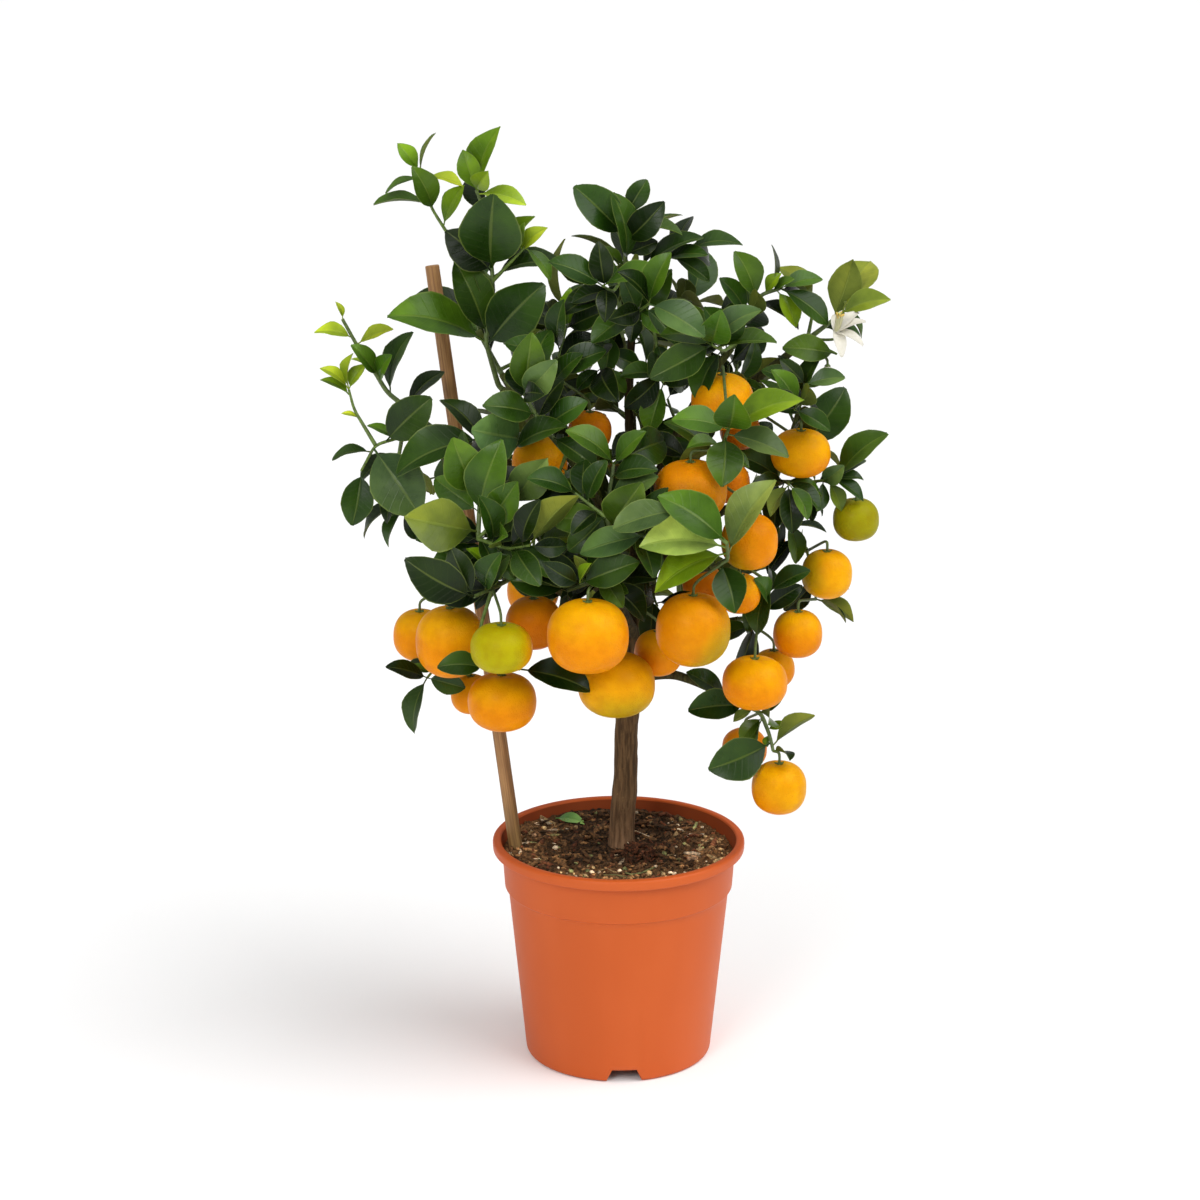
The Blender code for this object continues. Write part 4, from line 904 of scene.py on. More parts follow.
# Each stem, and the limb that it grows on. The first list is the stem, which goes on from the
# limb's end, and the others are its twigs, which start at the numbered point of an earlier
# list: (list, point). A leaf is (share of the way along, length in mm, the way it points as
# seen from the front in degrees clockwise from straight up, its lean towards the front in
# degrees, the share of its width that the front sees, negative where it shows its underside
# and above 1 for a leaf broader than the rest by that much, and its colour). The last number
# is how many more leaves a rule adds.
STEMS = {
    "crown_left": ("left_up", [
        (None, [(-86, -2, 490), (-81, 0, 529), (-85, -5, 573), (-91, -5, 588)], [
            (0.98, 45, 16, 0, 0.6, BRIGHT), (0.27, 66, 291, 12, 0.6, MID),
            (0.25, 60, 40, 20, 1.05, DARK), (0.3, 52, 341, 5, 0.9, DARK),
            (0.4, 42, 335, -25, 0.5, PAINTED_SHADE_GREEN), (0.58, 47, 74, 5, 0.5, DARK),
            (0.6, 40, 302, 10, 1.2, PAINTED_SHADE_GREEN), (0.62, 60, 3, 32, 1.25, DARK),
            (0.62, 44, 36, 20, 0.6, BRIGHT), (0.7, 27, 291, 5, 0.5, MID),
            (0.99, 28, 342, 0, 1, BRIGHT), (1, 25, 29, 35, 1, BRIGHT),
            (0.98, 32, 96, 15, 0.6, FRESH), (0.45, 44, 105, -5, 0.7, PAINTED_SHADE_GREEN)], 0),
        ((0, 2), [(-104, 5, 549), (-120, 5, 575), (-127, 5, 598)], [
            (1, 23, 324, 0, 0.9, BRIGHT), (1, 27, 9, 0, 0.2, MID), (0.95, 27, 97, 10, 0.4, FRESH),
            (0.95, 25, 255, 5, 0.4, MID), (0.75, 36, 272, 5, 0.35, MID),
            (0.7, 34, 342, 15, 0.9, MID), (0.55, 31, 12, 10, 0.7, BRIGHT)], 0),
        ((0, 2), [(-60, -20, 554)], [
            (0.85, 24, 44, 10, 0.8, FRESH), (1, 26, 137, 10, 0.6, MID)], 0),
    ]),
    "left": ("left_out", [
        (None, [(-150, 0, 456), (-160, -2, 474), (-168, -5, 487), (-177, -10, 506)], [
            (0.85, 25, 283, 5, 0.7, FRESH), (0.8, 26, 64, 5, 0.6, FRESH),
            (0.55, 28, 327, 20, 0.7, MID), (0.5, 26, 17, 35, 0.6, MID),
            (0.39, 44, 14, 5, 0.5, DARK), (0.25, 34, 42, 0, 0.5, PAINTED_SHADE_GREEN)], 0),
        ((0, 0), [(-140, -14, 430), (-157, -20, 426), (-167, -12, 407)], [
            (0.55, 44, 44, 15, 1.1, DARK), (0.7, 54, 142, 25, 1.25, PAINTED_SHEEN_GREY_GREEN),
            (1, 36, 190, 15, 1.1, DARK), (0.75, 26, 265, 0, 0.4, DARK)], 0),
        ((1, 2), [(-171, -10, 447), (-174, -10, 460)], [
            (1, 24, 3, 0, 0.4, FRESH), (1, 24, 327, 0, 0.4, FRESH),
            (0.9, 22, 305, 5, 0.4, BRIGHT)], 0),
        ((1, 1), [(-146, 4, 400), (-143, 18, 372)], [
            (1, 28, 205, -10, 0.5, DARK), (0.6, 24, 160, -20, 0.6, DARK)], 0),
    ]),
    "front_left": ("left_low", [
        (None, [(-89, -86, 381), (-88, -76, 404), (-86, -45, 436)], [
            (0.4, 50, 288, 25, 1.25, OLIVE), (0.62, 45, 338, 20, 1.1, MID),
            (0.5, 52, 14, 15, 0.95, MID), (0.38, 30, 150, 20, 0.8, DARK),
            (1, 60, 254, 5, 0.7, DARK), (0.95, 40, 320, -10, 0.7, PAINTED_SHADE_GREEN),
            (0.3, 40, 276, 8, 0.8, DARK), (0.15, 38, 252, 20, 0.8, DARK)], 0),
        ((0, 2), [(-74, -62, 424), (-62, -50, 437)], [
            (1, 48, 295, 48, 1.3, PAINTED_SHEEN_GREY_GREEN), (0.8, 42, 60, 10, 0.7, DARK)], 0),
        ((0, 1), [(-68, -80, 401)], [
            (1, 42, 34, 20, 1.1, PAINTED_SHEEN_SAGE), (0.35, 40, 28, 25, 1, MID)], 0),
        ((0, 1), [(-70, -104, 379), (-56, -110, 383)], [
            (1, 47, 39, 10, -0.8, OLIVE), (0.6, 34, 100, 20, 0.7, DARK),
            (0.3, 36, 352, 8, 0.7, DARK)], 0),
    ]),
    "centre": ("front_up", [
        (None, [(-50, -57, 448), (-60, -60, 468)], [
            (1, 42, 7, 15, 1, MID), (1, 36, 38, 20, 1, PAINTED_SHEEN_GREY_GREEN), (0.5, 34, 41, 15, 0.8, DARK),
            (0.7, 40, 290, 20, 0.9, DARK), (0.35, 36, 120, 25, 0.8, DARK)], 1),
        ((0, 1), [(-42, -38, 475), (-34, -20, 502)], [
            (1, 26, 5, 0, 1, BRIGHT), (0.9, 22, 340, -10, 0.7, DARK), (0.6, 36, 300, 10, 0.8, DARK),
            (0.5, 38, 60, 10, 0.8, DARK)], 0),
        ((0, 0), [(-40, -72, 415)], [
            (1, 27, 84, 5, 0.8, MID)], 0),
    ]),
    "front_mid": ("front", [
        (None, [(-5, -92, 385), (-9, -98, 398), (-4, -82, 428)], [
            (0.72, 36, 57, 15, 0.7, PAINTED_SHEEN_GREY_GREEN), (0.5, 42, 31, 30, 1.2, MID),
            (0.62, 33, 227, 15, 1.1, DARK), (1, 38, 315, 15, 0.6, MID), (1, 30, 40, 10, 0.7, MID),
            (0.9, 34, 80, 20, 0.7, DARK)], 1),
        ((0, 0), [(-14, -96, 363), (-25, -116, 360)], [
            (1, 40, 77, 10, 0.95, DARK)], 0),
        ((0, 1), [(17, -107, 389)], [
            (1, 43, 260, 10, 0.8, PAINTED_SHEEN_GREY_GREEN), (0.9, 34, 20, 10, 0.7, DARK)], 0),
        ((0, 2), [(-28, -92, 412)], [
            (1, 34, 283, 10, 0.75, DARK), (0.6, 30, 20, 8, 0.8, DARK)], 0),
    ]),
    "low_front": ("low_front", [
        (None, [(-10, -80, 352), (-14, -96, 357), (-33, -100, 351)], [
            (1, 36, 284, 10, 0.95, DARK), (0.4, 34, 240, 5, 0.7, PAINTED_SHADE_GREEN),
            (0.35, 36, 130, 0, 0.7, PAINTED_SHADE_GREEN)], 2),
    ]),
    "front_right": ("front_right", [
        (None, [(67, -106, 373), (66, -116, 386)], [
            (0.9, 55, 276, 10, 0.8, PALE_GREEN), (1, 52, 310, 5, 0.8, MID),
            (0.75, 56, 29, 0, 0.6, LIGHT_OLIVE), (0.8, 51, 248, 10, 0.65, BRIGHT),
            (0.35, 34, 162, 38, 1.2, DARK)], 1),
        ((0, 2), [(52, -118, 399), (37, -120, 408)], [
            (1, 43, 256, 5, 0.8, PAINTED_SHEEN_GREY_GREEN)], 0),
    ]),
    "right_mid": ("right_mid", [
        (None, [(63, -70, 434), (67, -90, 452)], [
            (1, 34, 6, 40, 1.3, MID), (1, 37, 285, 15, 0.8, MID), (1, 50, 61, 5, 0.6, BRIGHT),
            (0.9, 41, 107, 10, 0.75, PAINTED_SHEEN_GREY_GREEN), (0.85, 34, 186, 45, 1.3, MID),
            (0.6, 30, 232, 5, -0.7, OLIVE), (0.65, 28, 240, 15, 0.5, MID),
            (0.4, 38, 320, -5, 0.7, DARK)], 1),
    ]),
    "right": ("right_out", [
        (None, [(112, 3, 428), (117, -14, 455), (118, -28, 467)], [
            (1, 26, 77, 5, 0.8, PAINTED_SHEEN_GREY_GREEN), (0.9, 30, 300, 0, 0.7, DARK), (0.7, 36, 340, -15, 0.7, PAINTED_SHADE_GREEN),
            (0.8, 30, 20, 5, 0.6, DARK)], 0),
        ((0, 2), [(111, -42, 454)], [
            (1, 26, 115, 20, 0.9, DARK), (0.8, 30, 330, 10, 0.8, MID)], 0),
        ((0, 0), [(124, -6, 398), (140, -18, 403)], [
            (1, 44, 44, 0, 0.6, MID), (1, 26, 60, -30, 0.7, DARK), (0.9, 22, 100, -10, 0.6, DARK),
            (0.75, 24, 27, 30, 1, PAINTED_SHEEN_GREY_GREEN), (0.95, 24, 122, 10, 0.7, DARK),
            (0.85, 22, 152, 20, 0.9, OLIVE), (0.65, 26, 190, 15, 0.8, PAINTED_SHADE_GREEN)], 0),
        ((0, 0), [(106, -28, 404), (108, -46, 406)], [
            (1, 25, 146, 15, 0.8, MID), (1, 24, 215, 20, -0.8, OLIVE),
            (0.7, 28, 110, 20, 0.6, DARK), (0.45, 34, 285, 5, 0.8, DARK),
            (0.6, 32, 195, 5, 0.8, PAINTED_SHADE_GREEN)], 0),
        ((0, 0), [(108, 2, 372), (124, 8, 348), (130, 4, 316)], [
            (1, 29, 118, 0, -0.7, OLIVE), (0.5, 32, 220, 0, 0.7, PAINTED_SHADE_GREEN),
            (0.7, 30, 150, -10, 0.7, DARK), (0.2, 32, 205, 20, 0.9, DARK),
            (0.35, 28, 165, 15, 0.8, MID)], 0),
    ]),
    "crown_mid": ("leader", [
        (None, [(4, 0, 535), (3, 0, 573)], [
            (0.8, 46, 318, 15, 0.95, DARK), (0.55, 48, 341, 0, 0.55, DARK),
            (0.97, 30, 56, 20, 1, DARK), (0.75, 37, 30, 20, 1, PAINTED_SHADE_GREEN), (0.85, 37, 79, 10, 0.35, MID),
            (0.9, 26, 340, 0, 0.6, DARK)], 0),
        ((0, 1), [(24, 5, 540), (43, 10, 547)], [
            (1, 36, 79, 0, 0.6, DARK), (0.55, 32, 78, 15, 0.5, DARK), (0.3, 42, 62, 0, 0.5, DARK),
            (0.8, 34, 25, -10, 0.7, PAINTED_SHADE_GREEN)], 0),
        ((0, 1), [(-4, -24, 526), (-11, -40, 533)], [
            (1, 40, 76, 10, 0.65, MID), (1, 38, 300, 15, 0.8, DARK), (0.6, 36, 250, 20, 0.8, PAINTED_SHADE_GREEN),
            (0.9, 30, 352, 15, 1, PAINTED_SHADE_GREEN)], 0),
        ((0, 0), [(12, -30, 515), (18, -58, 525)], [
            (1, 42, 116, 25, 0.9, PAINTED_SHEEN_GREY_GREEN), (0.8, 32, 135, 20, 0.8, DARK), (1, 36, 20, 10, 0.8, MID),
            (0.6, 38, 240, 20, 0.8, DARK)], 0),
        ((0, 0), [(-6, -16, 501), (-12, -26, 477)], [
            (0.5, 27, 187, 15, 1, DARK), (1, 20, 232, 10, 0.9, DARK),
            (1, 22, 128, 10, 0.8, MID)], 0),
        ((0, 0), [(22, -12, 500), (28, -24, 467)], [
            (0.5, 28, 165, 10, 0.95, DARK), (1, 32, 198, 15, 0.9, MID), (1, 26, 92, 10, 0.7, DARK),
            (0.9, 27, 262, 15, 0.8, DARK)], 0),
    ]),
    "crown_right": ("right_up", [
        (None, [(82, 0, 508), (90, 0, 520), (103, 0, 524)], [
            (0.45, 30, 327, 10, 0.8, DARK), (0.65, 36, 338, 10, 0.9, MID),
            (0.95, 28, 150, 25, 0.8, BRIGHT), (1, 38, 122, 10, 0.7, DARK),
            (1, 30, 80, -20, 0.7, MID)], 0),
        ((0, 0), [(66, -34, 490), (57, -58, 499)], [
            (1, 30, 0, 35, 1.25, MID), (1, 38, 47, 10, 0.7, PAINTED_SHEEN_GREY_GREEN), (0.8, 38, 80, 10, 0.5, MID),
            (1, 34, 290, 20, 0.7, DARK), (0.6, 36, 200, 25, 0.8, DARK)], 1),
    ]),
    "blossom_stem": ("flower_limb", [
        (None, [(132, -2, 500), (143, -3, 509)], [
            (0.75, 41, 18, 6, -1, OLIVE), (1, 52, 36, -34, 0.9, YELLOW_GREEN),
            (0.9, 35, 67, 12, 0.7, YELLOW_GREEN), (1, 22, 138, -10, 0.4, PAINTED_SHEEN_GREY_GREEN),
            (0.5, 30, 100, -25, 0.7, DARK)], 0),
        ((0, 0), [(126, 10, 513)], [
            (1, 34, 331, 0, 0.75, OLIVE)], 0),
        ((0, 0), [(139, -13, 484)], [
            (1, 36, 268, 12, 0.9, MID)], 0),
    ]),
    "right_low": ("right_low", [
        (None, [(90, -26, 306), (94, -38, 322), (98, -36, 338)], [
            (1, 34, 200, 20, 0.8, DARK), (0.9, 30, 60, 0, 0.7, DARK), (0.8, 30, 235, 20, 0.8, DARK),
            (0.6, 30, 130, 0, 0.7, DARK), (0.3, 30, 250, 10, 0.7, DARK)], 0),
    ]),
    "lowest_right": ("lowest_right", [
        (None, [(93, -28, 248), (99, -32, 233), (101, -36, 224)], [
            (0.35, 39, 270, 12, 0.9, DARK), (0.5, 24, 295, -10, 0.6, DARK),
            (0.55, 28, 35, 25, 0.8, MID), (0.1, 32, 290, 15, 0.7, DARK),
            (0.95, 35, 50, 0, -0.6, OLIVE), (0.9, 46, 240, 20, 1.15, DARK),
            (0.6, 22, 225, 10, 0.8, MID), (0.6, 25, 180, 20, 0.4, BRIGHT)], 0),
    ]),
    "low_left": ("low_left", [
        (None, [(-80, -90, 350), (-91, -106, 349)], [
            (1, 50, 303, 15, 1, PAINTED_SHADE_GREEN), (0.6, 34, 20, 10, 0.6, DARK),
            (0.4, 36, 347, 0, 0.95, PAINTED_SHADE_GREEN)], 0),
        ((0, 1), [(-88, -92, 325), (-85, -99, 300)], [
            (1, 30, 279, 15, 0.9, DARK)], 0),
        ((1, 2), [(-63, -98, 299)], [
            (1, 46, 100, 10, 0.7, PAINTED_SHADE_GREEN)], 0),
        ((0, 0), [(-100, -38, 338), (-118, -44, 285), (-124, -55, 280)], [
            (1, 38, 197, 5, 0.7, DARK), (1, 28, 73, 20, 1, DARK),
            (0.4, 36, 280, -10, 0.7, PAINTED_SHADE_GREEN)], 0),
    ]),
    "back_left": ("back_left", [
        (None, [(-62, 100, 388), (-72, 110, 420)], [], 4),
        ((0, 0), [(-80, 82, 372), (-108, 80, 372), (-124, 72, 382)], [], 3),
        ((0, 0), [(-50, 104, 350), (-58, 118, 330)], [], 2),
    ]),
    "back_right": ("back_right", [
        (None, [(78, 92, 425), (80, 96, 455)], [], 4),
        ((0, 0), [(98, 78, 400), (122, 66, 404)], [], 3),
        ((0, 0), [(86, 98, 382), (90, 108, 352)], [], 2),
    ]),
    "back_top": ("back_top", [
        (None, [(0, 66, 505), (4, 58, 535)], [], 4),
        ((0, 0), [(-20, 76, 486), (-44, 76, 498)], [], 3),
        ((0, 0), [(24, 78, 486), (46, 78, 498)], [], 3),
    ]),
    "back_low": ("back_low", [
        (None, [(26, 106, 330), (20, 118, 350)], [], 3),
        ((0, 0), [(48, 100, 305), (68, 92, 300)], [], 2),
        ((0, 0), [(-4, 96, 305), (-26, 96, 296)], [], 2),
    ]),
    "back_far": ("back_far", [
        (None, [(-92, 76, 478), (-98, 66, 505)], [], 4),
        ((0, 0), [(-60, 92, 462), (-44, 100, 450)], [], 2),
    ]),
}

# Smaller leaves of the same stems: (list, then a leaf as above)
SMALL_LEAVES = {
    "crown_left": [(2, 0.9, 18, 14, 0, 0.7, BRIGHT)],
    "left": [
        (0, 1, 12, 345, 0, 0.6, FRESH), (0, 0.6, 16, 308, 0, 0.5, FRESH),
        (1, 0.45, 20, 285, 0, 0.6, MID), (2, 1, 20, 30, -10, 0.8, FRESH),
        (2, 0.5, 12, 300, 0, 0.5, FRESH)],
    "front_mid": [
        (1, 0.95, 20, 350, 10, -0.8, OLIVE), (1, 1, 20, 20, 0, 0.4, BRIGHT),
        (3, 1, 16, 310, 5, 0.8, BRIGHT)],
    "right": [(0, 0.95, 14, 69, 10, 0.7, MID)],
    "crown_mid": [(0, 1, 16, 39, 0, 0.6, BRIGHT), (1, 0.75, 14, 50, 30, 0.8, FRESH)],
    "crown_right": [(0, 0.8, 18, 20, 20, 0.8, BRIGHT), (0, 0.9, 16, 56, 10, 0.7, MID)],
    "lowest_right": [
        (0, 0.45, 16, 240, 0, -0.8, OLIVE), (0, 0.75, 13, 63, 10, 0.8, BRIGHT),
        (0, 0.8, 13, 150, 10, 0.8, BRIGHT)],
    "low_left": [
        (3, 0.95, 14, 290, 0, 0.7, MID), (0, 0.5, 38, 5, 0, 0.4, BRIGHT),
        (0, 0.55, 34, 345, -5, 0.9, PAINTED_SHADE_GREEN), (0, 0.8, 34, 30, -10, 0.8, DARK),
        (0, 0.3, 34, 20, 0, 0.9, DARK), (0, 0.3, 34, 60, 0, 0.9, PAINTED_SHADE_GREEN),
        (0, 0.2, 36, 320, 5, 0.8, DARK)],
    "front_left": [
        (0, 0.1, 36, 200, 5, 0.9, DARK), (0, 0.05, 34, 160, 10, 0.9, PAINTED_SHADE_GREEN),
        (0, 0.2, 36, 230, 5, 0.9, DARK), (0, 0.25, 34, 100, 0, 0.8, DARK),
        (0, 0.15, 34, 300, 0, 0.9, PAINTED_SHADE_GREEN), (0, 0.3, 32, 60, 0, 0.8, DARK),
        (0, 0.6, 34, 60, -10, 0.9, PAINTED_SHADE_GREEN), (0, 0.8, 34, 210, -10, 0.9, PAINTED_SHADE_GREEN)],
}
# How many small leaves a rule adds to each stem and twig, and how long they are, in mm. The
# young shoots, given as their stem and list, carry none, and none grow in the gaps of the
# outline, given as (x, z, radius) in the plane through the trunk, seen from the front.
FILLERS = 7
RULE_LENGTHS = (38, 52)
FILLER_LENGTHS = (22, 38)
YOUNG_SHOOTS = [("crown_left", 1), ("crown_left", 2), ("left", 0), ("left", 2), ("left", 1),
                ("blossom_stem", 0), ("blossom_stem", 1), ("blossom_stem", 2),
                ("front_left", 2), ("low_left", 2)]
GAPS = [(152, 451, 16), (138, 447, 9), (162, 468, 14), (-140, 549, 22), (-38, 613, 14), (64, 562, 14)]

# Fruit: centre, radius across, radius upright, the stem it hangs from, and the list and point
# there. The first ones are in plain view from the front.
FRUIT_SHOWN = 27
FRUIT = [
    ((65, -40, 459), 20, 18, "right_mid", (0, 2)),
    ((116, -30, 423), 19, 15.5, "right", (0, 1)),
    ((154, -10, 374), 15, 14, "right", (2, 2)),
    ((135, -20, 340), 16.5, 16, "right", (4, 2)),
    ((116, -32, 303), 16, 15.5, "right", (4, 3)),
    ((87, -62, 279), 21, 17, "right_low", (0, 1)),
    ((102, -8, 272), 14, 13, "right_low", (0, 0)),
    ((46, -97, 325), 23.5, 23, "front_right", (0, 1)),
    ((77, -52, 336), 13.5, 13, "right_low", (0, 3)),
    ((54, -22, 334), 13, 13, "right_low", (0, 2)),
    ((82, -70, 375), 18, 18, "right_mid", (0, 0)),
    ((44, -85, 412), 23, 19, "right_mid", (0, 1)),
    ((70, -36, 405), 13.5, 13, "right_mid", (0, 0)),
    ((78, -2, 432), 13, 13, "right", (0, 1)),
    ((25, -55, 297), 15.5, 15, "low_front", (0, 0)),
    ((-2, -85, 285), 24.5, 20.5, "low_front", (0, 1)),
    ((-20, -125, 329), 25.5, 23, "low_front", (0, 2)),
    ((-108, -70, 309), 22, 23, "low_left", (0, 1)),
    ((-130, -22, 299), 17.5, 17, "low_left", (3, 1)),
    ((-74, -117, 319), 19.5, 15.5, "low_left", (0, 1)),
    ((-75, -80, 272), 22, 18.5, "low_left", (1, 2)),
    ((-97, -32, 262), 13, 13, "low_left", (3, 2)),
    ((-55, -55, 317), 18, 17, "low_front", (0, 1)),
    ((105, -40, 200), 18, 17.5, "lowest_right", (0, 3)),
    ((84, 2, 213), 15, 13.5, "lowest_right", (0, 1)),
    ((-51, -25, 415), 18, 17, "centre", (0, 1)),
    ((-19, -25, 436), 14, 13.5, "centre", (1, 1)),
    ((-59, 112, 291), 18, 16.5, "back_left", (2, 2)),
    ((97, 84, 333), 17, 15, "back_right", (0, 0)),
    ((51, 112, 262), 20, 18, "back_low", (1, 1)),
]
DIMPLE = 1.4 * MM
STALK_RISE = 8 * MM
FLOWER_AT = (138, -20, 500)
FLOWER_FACES = (0.1, -0.35, 0.93)
BUDS = [((133, -17, 473), 3.2, 5), ((121, -12, 490), 2.8, 4.5)]


def blade_shape(share):
    """Half of a leaf's width at a share of its length, as a part of its widest."""
    if share <= PETIOLE:
        return PETIOLE_WIDTH
    reach = (share - PETIOLE) / (1 - PETIOLE)
    return max(0.0, math.sin(math.pi * reach ** BLADE_SKEW)) ** BLADE_FULLNESS


class Leaf:
    """One leaf: its root, length and width, and the axes of its blade."""

    def __init__(self, root, axis, normal, length, width, group, colour=DARK):
        self.root = root
        self.axis = axis
        self.normal = (normal - axis * normal.dot(axis)).normalized()
        self.across = axis.cross(self.normal)
        self.length = length
        self.width = width
        self.group = group
        self.colour = colour

    def point(self, share, side, lift=0.0):
        """A point of the blade, side -1 to 1 across it, lift along its upper side."""
        half = self.width / 2 * blade_shape(share)
        arch = LEAF_ARCH * self.length * 4 * share * (1 - share)
        rise = arch + LEAF_FOLD * half * abs(side) + lift
        return (self.root + self.axis * self.length * share + self.across * half * side
                + self.normal * rise)


def plain_blade(leaf, half_thickness, from_share=0.0):
    """The plain blade that stands for a leaf: a fan round its middle on each face."""
    near, far = (from_share + (1 - from_share) * share for share in LEAF_SHOULDERS)
    middle = from_share + (1 - from_share) * LEAF_MIDDLE
    outline = [(from_share, 0), (near, -1), (far, -1), (1, 0), (far, 1), (near, 1)]
    layer = len(outline) + 1
    corners = []
    for lift in (half_thickness, -half_thickness):
        corners += [leaf.point(share, side, lift) for share, side in outline]
        corners.append(leaf.point(middle, 0, lift))
    faces = []
    for corner in range(len(outline)):
        after = (corner + 1) % len(outline)
        faces.append((layer - 1, after, corner))
        faces.append((2 * layer - 1, corner + layer, after + layer))
        faces.append((corner, after, after + layer))
        faces.append((corner, after + layer, corner + layer))
    return corners, faces


def blade_tree(leaf, half_thickness, from_share):
    """A tree of the plain blade's faces, for finding what it meets."""
    corners, faces = plain_blade(leaf, half_thickness, from_share)
    return BVHTree.FromPolygons(corners, faces)


def direction(bearing, lean):
    """A way to point, given as seen from the front."""
    bearing, lean = math.radians(bearing), math.radians(lean)
    return Vector((math.sin(bearing) * math.cos(lean), -math.sin(lean),
                   math.cos(bearing) * math.cos(lean)))


def facing(axis, share):
    """A blade's normal that shows a share of its width to the front, the rest upwards."""
    front = Vector((0, -1, 0.2))
    front = (front - axis * front.dot(axis)).normalized()
    side = axis.cross(front)
    if side.z < 0:
        side = -side
    return front * share + side * math.sqrt(1 - share * share)


def inside_fruit(point, margin):
    """Whether a point is in a fruit or within a margin of it."""
    for centre, across, upright, *_ in FRUIT:
        off = point - place(centre)
        wide = across * MM + margin
        high = upright * MM + margin
        if (off.x / wide) ** 2 + (off.y / wide) ** 2 + (off.z / high) ** 2 < 1:
            return True
    return False


def hides_fruit(leaf):
    """Whether a leaf stands between the viewer and a fruit that is in plain view."""
    for share in (0.35, 0.6, 0.95):
        point = leaf.point(share, 0)
        sight = (point - VIEWER).normalized()
        for centre, across, *_ in FRUIT[:FRUIT_SHOWN]:
            off = place(centre) - VIEWER
            along_sight = off.dot(sight)
            nearer = (point - VIEWER).length < along_sight
            if nearer and (off - sight * along_sight).length < across * MM * 1.15:
                return True
    return False


class Crown:
    """What is placed so far: the wood and the leaves, with a tree of faces for each."""

    def __init__(self):
        self.wood = []
        self.leaves = []

    def add_wood(self, obj, group):
        """Takes a tube of wood in."""
        corners = [vert.co.copy() for vert in obj.data.vertices]
        faces = [tuple(face.vertices) for face in obj.data.polygons]
        self.wood.append((BVHTree.FromPolygons(corners, faces), group))

    def is_clear(self, leaf):
        """Whether a leaf keeps clear of fruit, wood and the leaves placed before it."""
        for share in (0.3, 0.5, 0.75, 1.0):
            for side in (-1, 0, 1):
                if inside_fruit(leaf.point(share, side), 2 * MM):
                    return False
        whole = blade_tree(leaf, CLEARANCE, 0.0)
        outer = blade_tree(leaf, CLEARANCE, 0.25)
        for tree, group in self.wood:
            if (outer if group == leaf.group else whole).overlap(tree):
                return False
        middle = leaf.point(0.5, 0)
        for other, tree in self.leaves:
            reach = (leaf.length + other.length) / 2 + 2 * MM
            if (other.point(0.5, 0) - middle).length > reach:
                continue
            if (outer if other.group == leaf.group else whole).overlap(tree):
                return False
        return True

    def add_leaf(self, leaf):
        """Takes a leaf in."""
        self.leaves.append((leaf, blade_tree(leaf, LEAF_THICKNESS / 2, 0.0)))


# Ways to bend a leaf that would cross something: more bearing, more lean, length kept
BENDS = [(0, 0, 1), (12, 0, 1), (-12, 0, 1), (0, 14, 1), (0, -14, 1), (14, 14, 1),
         (-14, 14, 1), (14, -14, 1), (-14, -14, 1), (26, 0, 0.95), (-26, 0, 0.95),
         (0, 28, 0.95), (0, -28, 0.95), (24, 26, 0.9), (-24, 26, 0.9), (24, -26, 0.9),
         (-24, -26, 0.9), (40, 10, 0.85), (-40, 10, 0.85), (40, -20, 0.8), (-40, -20, 0.8)]


def length_of(route):
    """A route's length."""
    return sum((end - start).length for start, end in zip(route, route[1:]))


def along(route, share):
    """A point at a share of a route's length, and the way the route goes there."""
    left = share * length_of(route)
    for start, end in zip(route, route[1:]):
        step = (end - start).length
        if left <= step or end is route[-1]:
            return start + (end - start) * min(1, left / step), (end - start).normalized()
        left -= step


def listed_point(routes, start):
    """The listed point that a twig or stalk starts from; a stem's own route has one more."""
    row, number = start
    return routes[row][number + 1 if row == 0 else number]


def routes_of(name):
    """The stem and twigs of a leafy stem as lists of points, the stem from its limb's end."""
    limb, lists = STEMS[name]
    ends = [point for point, _ in TRUNK] if limb == "leader" else LIMBS[limb]
    end = place(ends[-1])
    onward = (end - place(ends[-2])).normalized()
    routes = []
    for start, points, _, _ in lists:
        first = [listed_point(routes, start)] if start else [end + onward * GAP, end + onward * 4 * MM]
        routes.append(first + [place(point) for point in points])
    return routes


def set_listed(name, route, leaf, crown):
    """Sets one listed leaf, bent clear where it would cross something."""
    share, length, bearing, lean, face, colour = leaf
    root, _ = along(route, share)
    for turn, tilt, keep in BENDS:
        axis = direction(bearing + turn, lean + tilt)
        size = length * MM * keep
        width = size * LEAF_WIDTH * max(1, face)
        made = Leaf(root, axis, facing(axis, min(1, face)), size, width, name, colour)
        if crown.is_clear(made):
            crown.add_leaf(made)
            return


def in_a_gap(leaf):
    """Whether a leaf would close one of the gaps of the outline."""
    for share in (0.3, 0.6, 0.95):
        point = leaf.point(share, 0)
        sight = point - VIEWER
        spot = VIEWER + sight * (-VIEWER.y / sight.y)
        for x, z, reach in GAPS:
            if math.hypot(spot.x / MM - x, spot.z / MM - z) < reach:
                return True
    return False


